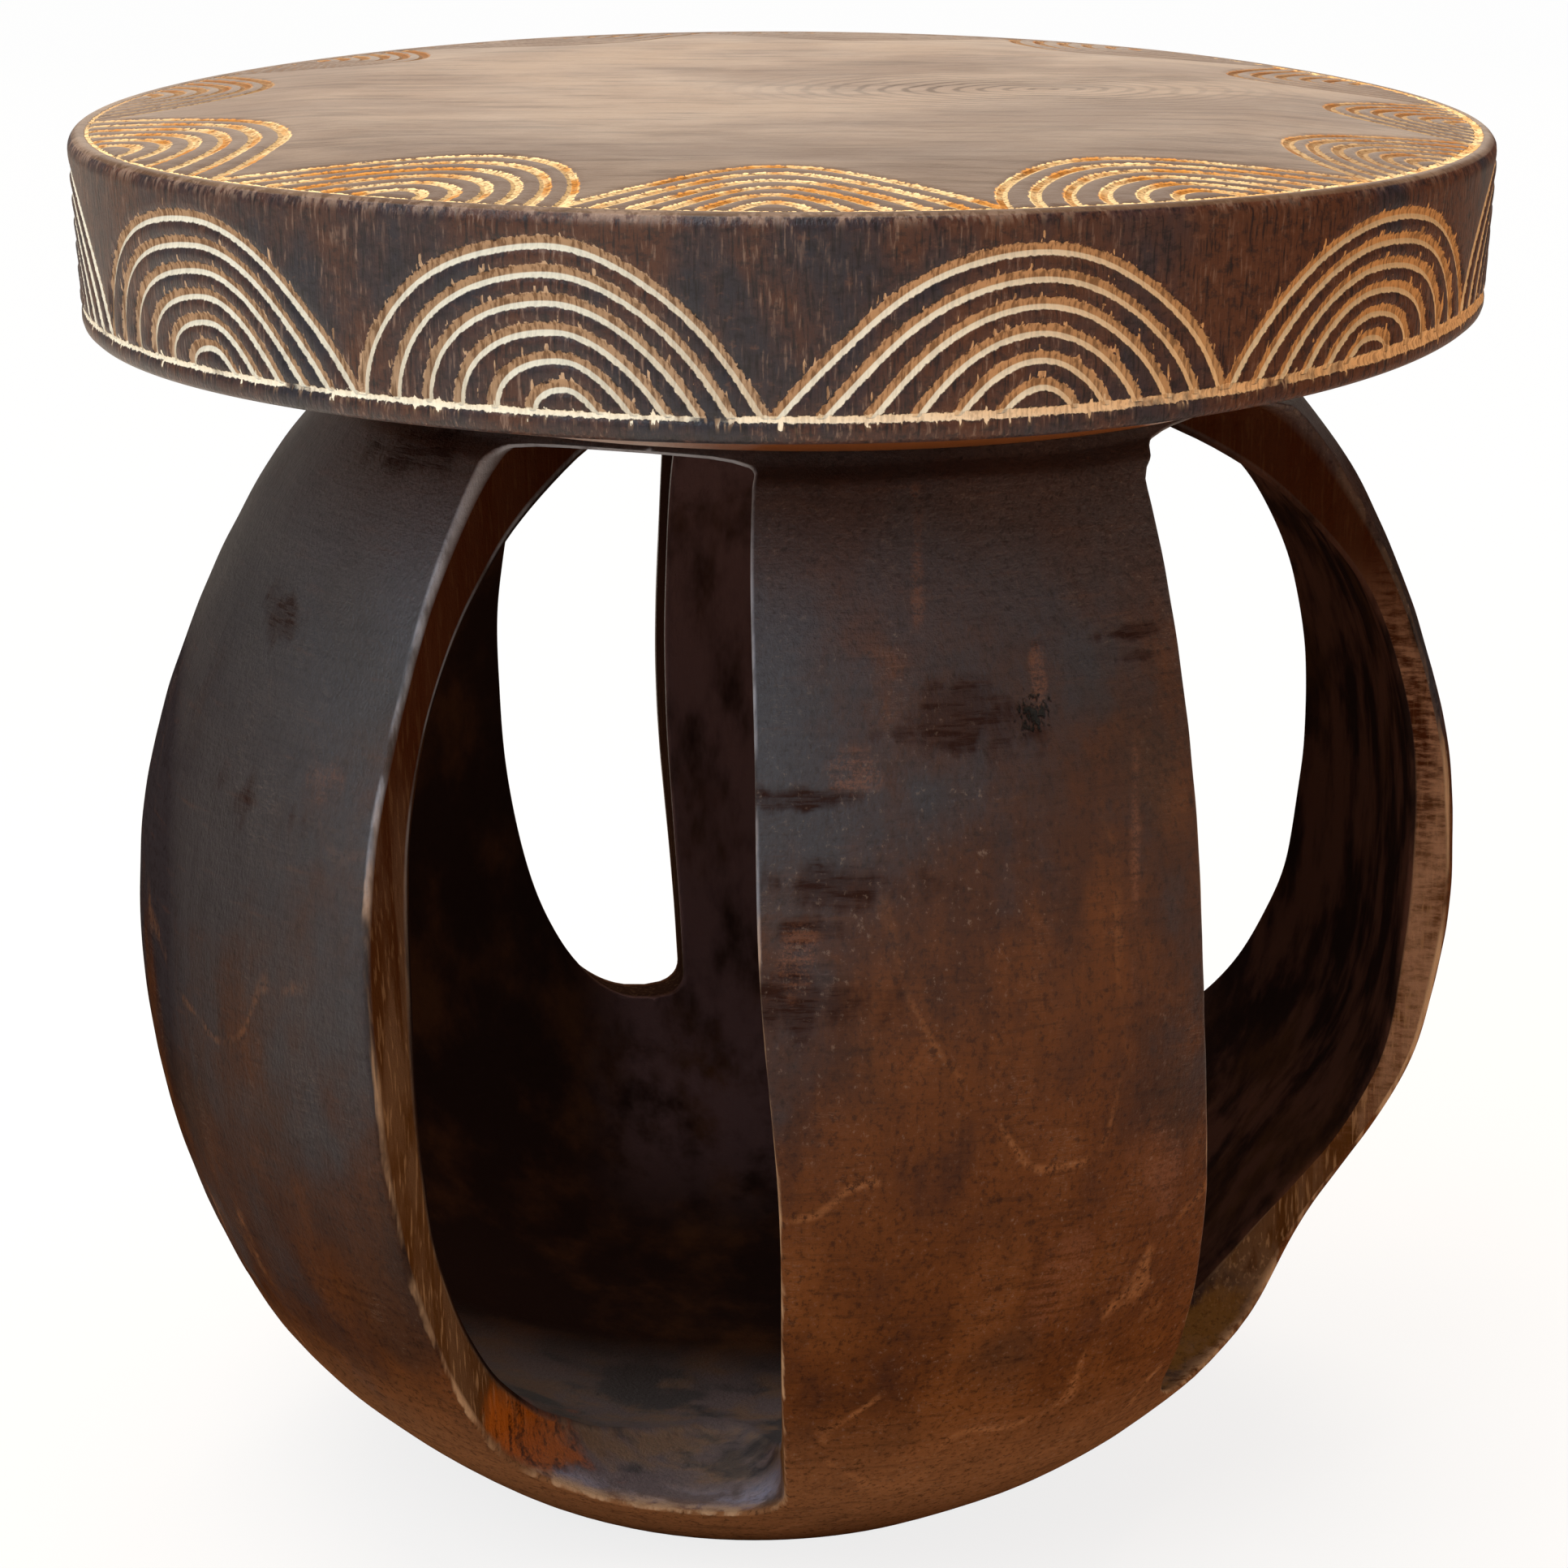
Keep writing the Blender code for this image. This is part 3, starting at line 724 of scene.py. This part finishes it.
# Rim arches, then arches of the top: where each begins, in degrees from the front; where its middle
# lies across it and how far its crown leans; how straight its left and right sides run (0 round,
# 1 straight); and its height in mm.
rim_base = 0.0067
rim_nests = [(-65.2, 0.53, -0.055, -0.3, 1.0, 41.5), (-32.7, 0.54, -0.055, 0.0, 1.0, 42.6),
             (-0.9, 0.57, -0.045, 1.0, 0.6, 41.5), (34.1, 0.46, 0.065, 0.7, 0.0, 39.0)]
rim_nests += [(67.4 + 32.5 * i, 0.5, 0.0, 0.3 + 0.5 * (i % 2), 0.8 - 0.5 * (i % 2), 42.0) for i in range(7)]
top_base = 0.0058
top_nests = [
    (-142.0, 0.5, 0.0, 0.5, 0.7, 47.7), (-119.0, 0.5, 0.0, 0.8, 0.4, 41.7),
    (-89.0, 0.48, 0.0, 0.9, 0.7, 50.7), (-48.4, 0.56, 0.0, 1.0, 0.0, 60.7),
    (-16.4, 0.48, 0.0, 0.9, 0.8, 60.7), (16.0, 0.50, 0.0, 0.2, 1.0, 54.7),
    (50.7, 0.45, 0.0, 0.5, 0.9, 43.7), (77.0, 0.5, 0.0, 0.6, 0.7, 43.7),
    (101.0, 0.5, 0.0, 0.6, 0.8, 49.7), (128.0, 0.5, 0.0, 0.8, 0.5, 48.7),
    (158.0, 0.5, 0.0, 0.6, 0.8, 50.7), (188.0, 0.5, 0.0, 0.9, 0.6, 48.7),
]

# The seat's outline from the middle of the top, over the rim, to the neck.
profile = [(0.0, rim_top + crown)]
for radius in np.linspace(0.03, flat_radius, top_flat_rows - 1):
    profile.append((radius, rim_top + crown))
for radius in np.linspace(flat_radius, seat_radius - brow_across, top_fall_rows + 1)[1:]:
    share = (radius - flat_radius) / (seat_radius - brow_across - flat_radius)
    profile.append((radius, rim_top + crown * (1 - share**1.25)))
for turn in np.linspace(0.0, 90.0, brow_rows + 1)[1:]:
    back = brow_across * (1 - math.sin(math.radians(turn)))
    drop = brow_down * (1 - math.cos(math.radians(turn)))
    profile.append((seat_radius - back, rim_top - drop))
for height in np.linspace(rim_top - brow_down, rim_foot + lower_round, rim_rows + 1)[1:]:
    profile.append((seat_radius, height))
for turn in (30.0, 60.0, 90.0):
    back = lower_round * (1 - math.cos(math.radians(turn)))
    drop = lower_round * math.sin(math.radians(turn))
    profile.append((seat_radius - back, rim_foot + lower_round - drop))
for share in (0.3, 0.6, 0.85, 1.0):
    radius = seat_radius - edge_soft + (neck_radius + 0.006 - seat_radius + edge_soft) * share
    profile.append((radius, rim_foot + (neck_top - rim_foot) * share**1.3))
profile.append((0.06, neck_top + 0.001))
profile.append((0.0, neck_top + 0.001))
profile = np.array(profile)


def arch_size(x, y, straight):
    """Which arch of a nest a place lies on: 1 is the outermost one."""
    round_one = np.sqrt(x * x + y * y)
    straight_one = (y + np.sqrt(y * y + 4 * x * x)) / 2
    return round_one + (straight_one - round_one) * straight


def carve(nests, degrees, up):
    """For every place in a band of nests: the arch it lies on, and how many mm one arch measures there."""
    starts = np.array([nest[0] for nest in nests])
    turned = (degrees - starts[0]) % 360.0 + starts[0]
    number = np.searchsorted(starts, turned, side="right") - 1
    begin = starts[number]
    finish = np.append(starts[1:], starts[0] + 360.0)[number]
    share, lean, left, right, tall = np.array(nests)[number][..., 1:].transpose(2, 0, 1)
    y = np.maximum(up, 0.0) * 1000.0 / tall
    middle = begin + (finish - begin) * (share + lean * np.minimum(y, 1.1))
    at_left = turned < middle
    width = np.where(at_left, middle - begin, finish - middle) * nest_fill
    x = np.abs(turned - middle) / width
    straight = np.where(at_left, left, right)
    size = arch_size(x, y, straight)
    before = arch_size(np.maximum(x - probe, 0.0), y, straight)
    across = (arch_size(x + probe, y, straight) - before) / (2 * probe)
    below = arch_size(x, np.maximum(y - probe, 0.0), straight)
    upward = (arch_size(x, y + probe, straight) - below) / (2 * probe)
    millimetres = np.radians(width) * seat_radius * 1000.0
    slope = np.hypot(across / millimetres, upward / tall)
    wobble = 0.009 * np.sin(turned * 0.45 + number * 2.1) * np.sin(y * 3 + number)
    return size + wobble, 1.0 / np.maximum(slope, least_slope)


def groove_distance(size, pitch):
    """Distance in mm from the middle of the nearest groove."""
    along = (size - arch_first) / arch_step
    return (along - np.clip(np.rint(along), 0, arch_last)) * arch_step * pitch


row_count = len(profile)
theta, row = np.meshgrid(np.linspace(0.0, 2 * math.pi, seat_columns, endpoint=False), np.arange(row_count))
radius = profile[row, 0]
height = profile[row, 1]
first_rim_row = top_flat_rows + top_fall_rows + 4
on_top = row < first_rim_row
on_rim = (~on_top) & (height > rim_foot + 0.0005)
degrees = np.degrees(theta)
lift = np.clip(np.abs(degrees - lift_degrees) / lift_spread, 0.0, 1.0)
lift = lift_height * np.cos(np.pi / 2 * lift) ** 2
down = np.clip((rim_top - brow_down - height) / (rim_top - brow_down - rim_foot), 0.0, 1.0)
height = height + lift * np.where(radius > neck_radius + neck_clear, down, 0.0)
radius = np.maximum(radius - rim_taper * np.where(on_top, 0.0, down), 0.0)
saddle = rim_saddle * np.cos(2 * theta) + tilt_front * np.cos(theta) - tilt_right * np.sin(theta)
outward = np.clip((radius - saddle_from) / (seat_radius - saddle_from), 0.0, 1.0)
edge_share = np.where(on_top, outward**2, 1.0 - down)
rim_up = np.where(on_top, past_rim + seat_radius - radius, height - rim_foot - lift - rim_base)
top_up = np.where(on_top, seat_radius - top_base - radius, -top_base - (rim_top - height))
height = height + saddle * np.where(radius > neck_radius + neck_clear, edge_share, edge_share * on_top)
rim_size, rim_pitch = carve(rim_nests, degrees, rim_up)
top_size, top_pitch = carve(top_nests, degrees, top_up)
rim_gap = np.where(rim_up > 0, np.abs(groove_distance(rim_size, rim_pitch)), no_groove)
top_gap = np.where(top_up > 0, np.abs(groove_distance(top_size, top_pitch)), no_groove)
rim_gap = np.minimum(rim_gap, np.abs(rim_up * 1000.0) + rim_ring_shallow)
top_gap = np.minimum(top_gap, np.abs(top_up * 1000.0) + top_ring_shallow)
rim_cut = rim_cut_depth * (0.5 + 0.5 * np.cos(np.pi * np.clip(rim_gap / rim_cut_reach, 0.0, 1.0)))
top_cut = top_cut_depth * (0.5 + 0.5 * np.cos(np.pi * np.clip(top_gap / top_cut_reach, 0.0, 1.0)))
side = np.clip((radius - flat_radius) / (seat_radius - flat_radius), 0.0, 1.0)
ease = np.sin(theta * 3 + 0.6) * 0.0007 + np.sin(theta * 7 + 2.0) * 0.0004
radius = radius + ease * side * side - np.where(on_rim, rim_cut, 0.0)
height = height - np.where(on_top, top_cut, 0.0)
brow = np.exp(-(((row - first_rim_row) / 3.2) ** 2))
at_neck = np.clip((seat_radius - radius) / (seat_radius - neck_radius), 0.0, 1.0)
centre = np.where(height < rim_foot - 0.0001, at_neck * axis_x(neck_top), 0.0)

bpy.ops.object.select_all(action="DESELECT")
bpy.ops.mesh.primitive_grid_add(x_subdivisions=seat_columns, y_subdivisions=row_count - 1, size=2.0)
seat = bpy.context.active_object
seat.name = "carved_seat"
seat.data.name = "carved_seat"
place = np.zeros(len(seat.data.vertices) * 3)
seat.data.vertices.foreach_get("co", place)
place = place.reshape(-1, 3)
column = np.rint((place[:, 0] + 1) / 2 * seat_columns).astype(int) % seat_columns
line = np.rint((1 - place[:, 1]) / 2 * (row_count - 1)).astype(int)
place[:, 0] = centre[line, column] + radius[line, column] * np.sin(theta[line, column])
place[:, 1] = -radius[line, column] * np.cos(theta[line, column])
place[:, 2] = height[line, column]
seat.data.vertices.foreach_set("co", place.ravel())
for name, values in (("rim_size", rim_size), ("rim_pitch", rim_pitch), ("rim_up", rim_up * 1000.0),
                     ("top_size", top_size), ("top_pitch", top_pitch), ("top_up", top_up * 1000.0),
                     ("on_rim", ~on_top), ("brow", brow)):
    keep_values(seat.data, name, values[line, column])
close_skin()

painted_lit_cream = (0.940, 0.820, 0.620)
raw_shade = (0.520, 0.335, 0.205)
painted_warm_lit_cream = (0.920, 0.590, 0.310)
painted_warm_shade = (0.490, 0.230, 0.085)
raw_orange = (0.560, 0.220, 0.045)
top_cream = (0.840, 0.560, 0.270)
rim_blue_black = (0.0225, 0.0190, 0.0240)
rim_brown = (0.0720, 0.0250, 0.0125)
fibre_tan = (0.270, 0.165, 0.115)
top_brown = (0.1050, 0.0480, 0.0220)
top_grey = (0.2050, 0.1200, 0.0680)
ring_and_shade_dark = (0.0480, 0.0230, 0.0120)
grain_black = (0.012, 0.008, 0.0080)
scuff_black = (0.012, 0.009, 0.0095)
scuff_tan = (0.146, 0.064, 0.036)
raw_grain = (0.130, 0.062, 0.030)
raw_speckle = (0.180, 0.070, 0.022)
painted_groove_shade_brown = (0.240, 0.105, 0.045)
ridge_brown = (0.075, 0.036, 0.020)
fray_tan = (0.380, 0.230, 0.130)
rubbed_tan = (0.300, 0.190, 0.130)
undercut_brown = (0.175, 0.050, 0.012)
top_sheen = (1.0, 0.80, 0.61)
rim_sheen = (1.0, 1.0, 1.0)

seat_wood, tree, shader = new_finish("carved_seat_wood")
fibres = grain_noise(tree, (1000.0, 1000.0, 110.0), 3.0, 0.55)
splinters = grain_noise(tree, (520.0, 520.0, 70.0), 2.0, 0.5, (4.0, 6.0, 1.0))
mottle = grain_noise(tree, (17.0, 17.0, 13.0), 5.0, 0.6, (2.0, 3.0, 0.0))
smudge = grain_noise(tree, (46.0, 46.0, 24.0), 5.0, 0.62, (6.0, 3.0, 7.0))
speckle = grain_noise(tree, (700.0, 700.0, 700.0), 3.0, 0.6, (8.0, 1.0, 3.0))
rim_share = point_value(tree, "on_rim")
brow = point_value(tree, "brow")
at_x, at_y, at_z = place_on(tree)
to_right = ramp(tree, at_x, -0.05, 0.15)

# Stained wood of the rim, with the standing grain just showing.
warmth = plus(tree, times_plus(tree, smudge, 0.7, mottle), times(tree, to_right, 0.14))
rim_colour = blend(tree, ramp(tree, warmth, 0.70, 1.02), rim_blue_black, rim_brown)
rim_colour = coat(tree, rim_colour, grain_black, ramp(tree, fibres, 0.48, 0.32), 0.80)
flecks = times(tree, ramp(tree, fibres, 0.56, 0.70), ramp(tree, smudge, 0.36, 0.56))
flecks = times(tree, flecks, times_plus(tree, to_right, -0.6, 1.0))
rim_colour = coat(tree, rim_colour, fibre_tan, flecks, 0.55)
scuffs = grain_noise(tree, (260.0, 260.0, 420.0), 4.0, 0.7, (3.0, 7.0, 5.0))
rim_colour = coat(tree, rim_colour, scuff_black, ramp(tree, scuffs, 0.50, 0.36), 0.6)
rim_colour = coat(tree, rim_colour, scuff_tan, ramp(tree, scuffs, 0.56, 0.72), 0.35)

# Growth rings of the log show on the top, round a heart that lies right of the middle.
where = node(tree, "ShaderNodeTexCoord")
heart = node(tree, "ShaderNodeMapping")
heart.inputs["Location"].default_value = (-0.078, -0.036, 0.0)
heart.inputs["Scale"].default_value = (1.0, 1.8, 0.0)
tree.links.new(where.outputs["Object"], heart.inputs["Vector"])
rings = node(tree, "ShaderNodeTexWave", wave_type="RINGS", rings_direction="SPHERICAL", Scale=42.0)
rings.inputs["Distortion"].default_value = 5.0
rings.inputs["Detail"].default_value = 5.0
rings.inputs["Detail Scale"].default_value = 0.5
rings.inputs["Detail Roughness"].default_value = 0.65
tree.links.new(heart.outputs["Vector"], rings.inputs["Vector"])
cloud = grain_noise(tree, (9.0, 20.0, 9.0), 7.0, 0.68, (0.0, 4.0, 2.0))
top_colour = blend(tree, ramp(tree, cloud, 0.38, 0.66), top_brown, top_grey)
ring_share = times(tree, ramp(tree, rings.outputs["Fac"], 0.50, 0.95), ramp(tree, cloud, 0.80, 0.46))
ring_share = times(tree, ring_share, spot(tree, (0.068, 0.020, 0.42), (0.115, 0.072, 0.2), 0.5))
top_colour = coat(tree, top_colour, ring_and_shade_dark, ring_share, 0.75)
lines = grain_noise(tree, (20.0, 190.0, 9.0), 6.0, 0.7, (1.0, 2.0, 3.0))
top_colour = coat(tree, top_colour, ring_and_shade_dark, ramp(tree, lines, 0.52, 0.36), 0.50)
# Painted shade: the top is darkened towards the front, where it shows less sheen.
toward_front = ramp(tree, at_y, 0.05, -0.19)
top_colour = coat(tree, top_colour, ring_and_shade_dark, toward_front, 0.52)
top_colour = coat(tree, top_colour, ring_and_shade_dark, ramp(tree, speckle, 0.56, 0.72), 0.3)
stained = blend(tree, rim_share, top_colour, rim_colour)
crumb = times(tree, calc(tree, "SUBTRACT", speckle, 0.5), 2.6)


def gouged(tree, prefix, half_width, ring_half, tear):
    """Where a band of arches shows raw wood, how deep it is cut, and the outer sides of its grooves."""
    size, pitch, up = (point_value(tree, prefix + "_" + part) for part in ("size", "pitch", "up"))
    along = calc(tree, "DIVIDE", calc(tree, "SUBTRACT", size, arch_first), arch_step)
    nearest = larger(tree, calc(tree, "ROUND", along), 0.0)
    nearest = calc(tree, "MINIMUM", nearest, arch_last)
    off = times(tree, times(tree, calc(tree, "SUBTRACT", along, nearest), arch_step), pitch)
    bottom = -0.15 * half_width
    outer = ramp(tree, off, bottom - 0.18, bottom + 0.18)
    away = calc(tree, "ABSOLUTE", off)
    torn_side = times(tree, larger(tree, tear, -0.6), outer)
    clean_side = times(tree, crumb, times_plus(tree, outer, -0.4, 0.4))
    ragged = calc(tree, "SUBTRACT", away, plus(tree, torn_side, clean_side))
    bare = times(tree, ramp(tree, ragged, half_width + 0.12, half_width - 0.22), ramp(tree, up, -0.2, 0.3))
    inner_wall = calc(tree, "DIVIDE", plus(tree, off, half_width), half_width + bottom)
    outer_wall = calc(tree, "DIVIDE", calc(tree, "SUBTRACT", half_width, off), half_width - bottom)
    depth = larger(tree, calc(tree, "MINIMUM", inner_wall, outer_wall), 0.0)
    depth = times(tree, depth, ramp(tree, up, -0.2, 0.3))
    line = calc(tree, "SUBTRACT", calc(tree, "ABSOLUTE", up), times(tree, tear, 0.60))
    line = calc(tree, "SUBTRACT", line, times(tree, to_right, ring_half * 0.8))
    line = calc(tree, "SUBTRACT", line, times(tree, ramp(tree, at_x, 0.12, 0.19), 0.5))
    ring = times(tree, ramp(tree, line, ring_half + 0.15, ring_half - 0.15), ramp(tree, smudge, 0.32, 0.44))
    ring_depth = times(tree, ring, 0.40)
    outer = times(tree, outer, rest_of(tree, ring))
    outer = larger(tree, outer, times(tree, times(tree, ring, to_right), 0.7))
    return larger(tree, bare, ring), larger(tree, depth, ring_depth), outer


# The gouge tears the fibres above each cut on the rim, and leaves the lower side clean; the lower side is
# painted bright as lit, the upper side as in shade.
tear = times_plus(tree, ramp(tree, splinters, 0.60, 0.72), 2.8, crumb)
tear = plus(tree, tear, times_plus(tree, smudge, 1.8, -0.9))
rim_bare, rim_depth, rim_outer = gouged(tree, "rim", 1.72, 0.78, tear)
top_bare, top_depth, top_outer = gouged(tree, "top", 1.65, 0.30, times_plus(tree, smudge, 1.2, crumb))
# Painted light and shade: each rim groove's raw wood is a lit cream lower wall and a shaded tan upper wall,
# both warmer towards the right as painted warm light.
rim_painted_lit_cream = blend(tree, to_right, painted_lit_cream, painted_warm_lit_cream)
rim_raw = blend(tree, rim_outer, rim_painted_lit_cream, blend(tree, to_right, raw_shade, painted_warm_shade))
grainy = times(tree, ramp(tree, fibres, 0.56, 0.38), times_plus(tree, rim_outer, 0.55, 0.16))
rim_raw = blend(tree, grainy, rim_raw, raw_grain)
top_raw = blend(tree, times(tree, top_outer, ramp(tree, smudge, 0.42, 0.60)), top_cream, raw_orange)
top_raw = coat(tree, top_raw, raw_speckle, ramp(tree, speckle, 0.52, 0.36), 0.7)
top_up_mm = point_value(tree, "top_up")
# Painted shade: the raw wood of the top's grooves is darkened towards the back, and past the ring by the
# right edge; the ring by the right edge is left lit.
past_ring = ramp(tree, top_up_mm, 1.0, 5.0)
by_right_edge = ramp(tree, at_x, 0.11, 0.16)
lit_ring = times(tree, by_right_edge, rest_of(tree, past_ring))
painted_groove_shade = ramp(tree, at_y, -0.10, 0.09)
painted_groove_shade = times(tree, painted_groove_shade, rest_of(tree, lit_ring))
painted_right_groove_shade = times(tree, times(tree, by_right_edge, past_ring), 0.75)
painted_groove_shade = larger(tree, painted_groove_shade, painted_right_groove_shade)
top_raw = coat(tree, top_raw, painted_groove_shade_brown, painted_groove_shade, 0.80)

# The ridges between the cuts of the top keep a darker stain, and fibres fray below the rim's ring.
in_nest = ramp(tree, point_value(tree, "top_size"), 1.10, 0.98)
in_nest = times(tree, in_nest, ramp(tree, top_up_mm, -4.0, -1.0))
ridge_stain = calc(tree, "SUBTRACT", 0.55, times(tree, rim_share, 0.55))
stained = coat(tree, stained, ridge_brown, in_nest, ridge_stain)
rim_up_mm = point_value(tree, "rim_up")
frayed = times(tree, ramp(tree, splinters, 0.55, 0.66), ramp(tree, rim_up_mm, -4.0, -0.4))
frayed = times(tree, times(tree, frayed, ramp(tree, rim_up_mm, 0.4, -0.2)), rim_share)
stained = coat(tree, stained, fray_tan, frayed, 0.60)

# The edge of the top is knocked and rubbed pale, most of all on the left.
rubbed = times(tree, ramp(tree, plus(tree, smudge, times(tree, splinters, 0.8)), 0.90, 1.02), brow)
rubbed = times(tree, rubbed, times_plus(tree, to_right, -0.55, 0.85))
stained = coat(tree, stained, rubbed_tan, rubbed, 0.6)
under = ramp(tree, at_z, rim_foot, rim_foot - 0.004)
stained = blend(tree, under, stained, undercut_brown)
colour = blend(tree, rim_bare, blend(tree, top_bare, stained, top_raw), rim_raw)
tree.links.new(colour, shader.inputs["Base Color"])
bare = larger(tree, rim_bare, top_bare)
rough = times_plus(tree, mottle, 0.24, 0.27)
tree.links.new(times_plus(tree, bare, 0.35, rough), shader.inputs["Roughness"])
rim_shine = times_plus(tree, to_right, -0.34, 0.36)
worn_dull = times(tree, ramp(tree, lines, 0.54, 0.38), 0.42)
worn_dull = larger(tree, worn_dull, times(tree, ring_share, 0.75))
worn_dull = plus(tree, worn_dull, times(tree, ramp(tree, cloud, 0.60, 0.40), 0.20))
top_shine = times(tree, times_plus(tree, toward_front, -0.46, 0.62), rest_of(tree, worn_dull))
shine_mix = node(tree, "ShaderNodeMix", data_type="FLOAT")
tree.links.new(rim_share, shine_mix.inputs[0])
tree.links.new(top_shine, shine_mix.inputs[2])
tree.links.new(rim_shine, shine_mix.inputs[3])
shine = larger(tree, shine_mix.outputs[0], 0.0)
tree.links.new(blend(tree, rim_share, top_sheen, rim_sheen), shader.inputs["Specular Tint"])
shine = times(tree, shine, times_plus(tree, bare, -0.85, 1.0))
shine = times(tree, shine, times_plus(tree, brow, times_plus(tree, to_right, -0.45, -0.30), 1.0))
tree.links.new(shine, shader.inputs["Specular IOR Level"])
relief = times_plus(tree, fibres, times(tree, rim_share, 0.34), times(tree, speckle, 0.12))
relief = times_plus(tree, lines, times_plus(tree, rim_share, -0.2, 0.2), relief)
relief = times_plus(tree, larger(tree, rim_depth, top_depth), -1.7, relief)
raise_relief(tree, shader, relief, 1.0, 0.001)
seat.data.materials.append(seat_wood)
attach(seat, "root")
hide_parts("seat")

# Floor and light: a plain pale floor under a wide soft box, with a cool window light from the left,
# a warm one low on the right, and a broad one behind that shines along the top.
bpy.ops.object.select_all(action="DESELECT")
floor_size = 30.0
floor_middle_back = 5.0
floor_clear_from = -4.6
floor_clear_to = -3.4
bpy.ops.mesh.primitive_plane_add(size=floor_size, location=(0.0, floor_middle_back, 0.0))
floor = bpy.context.active_object
floor.name = "studio_floor"
floor_paint, tree, paint = new_finish("pale_floor")
paint.inputs["Base Color"].default_value = (0.84, 0.74, 0.63, 1.0)
paint.inputs["Roughness"].default_value = 0.9
paint.inputs["Specular IOR Level"].default_value = 0.1
white = node(tree, "ShaderNodeEmission", Strength=1.0)
_, at_y, _ = place_on(tree)
seen = times_plus(tree, ramp(tree, at_y, floor_clear_from, floor_clear_to), 0.16, 0.82)
seen = times(tree, node(tree, "ShaderNodeLightPath").outputs["Is Camera Ray"], seen)
mixed = node(tree, "ShaderNodeMixShader")
tree.links.new(seen, mixed.inputs[0])
tree.links.new(paint.outputs["BSDF"], mixed.inputs[1])
tree.links.new(white.outputs["Emission"], mixed.inputs[2])
tree.links.new(mixed.outputs["Shader"], tree.nodes["Material Output"].inputs["Surface"])
floor.data.materials.append(floor_paint)

lamp_aim = Vector((0.0, 0.0, 0.22))
for name, stand, size, power, tint in (
    ("overhead_box", (-0.2, 0.3, 2.4), 2.2, 76.0, (1.0, 0.97, 0.93)),
    ("window_left", (-1.1, -1.7, 2.1), 1.8, 52.0, (0.76, 0.88, 1.0)),
    ("warm_right", (1.9, -0.8, 0.6), 1.0, 11.0, (1.0, 0.68, 0.40)),
    ("back_box", (0.0, 3.0, 1.55), 2.6, 24.0, (1.0, 0.87, 0.71)),
):
    data = bpy.data.lights.new(name, "AREA")
    data.size = size
    data.energy = power
    data.color = tint
    lamp = bpy.data.objects.new(name, data)
    lamp.location = stand
    lamp.rotation_euler = (lamp_aim - Vector(stand)).to_track_quat("-Z", "Y").to_euler()
    bpy.context.scene.collection.objects.link(lamp)

world = bpy.data.worlds.new("studio")
world.use_nodes = True
bpy.context.scene.world = world
world.node_tree.nodes["Background"].inputs["Color"].default_value = (1.0, 0.98, 0.96, 1.0)
world.node_tree.nodes["Background"].inputs["Strength"].default_value = 0.30

# Camera: square on to the front, a little above the seat, as the photograph was taken.
camera_data = bpy.data.cameras.new("camera")
camera_data.sensor_width = 36.0
camera_data.lens = 110.47
camera = bpy.data.objects.new("camera", camera_data)
camera_back = 1.435
camera_height = 0.6095
camera_dip = 0.2685
camera.location = (0.0, -camera_back, camera_height)
camera.rotation_euler = (math.pi / 2 - camera_dip, 0.0, 0.0)
bpy.context.scene.collection.objects.link(camera)
bpy.context.scene.camera = camera

bpy.context.scene.view_settings.view_transform = "Standard"
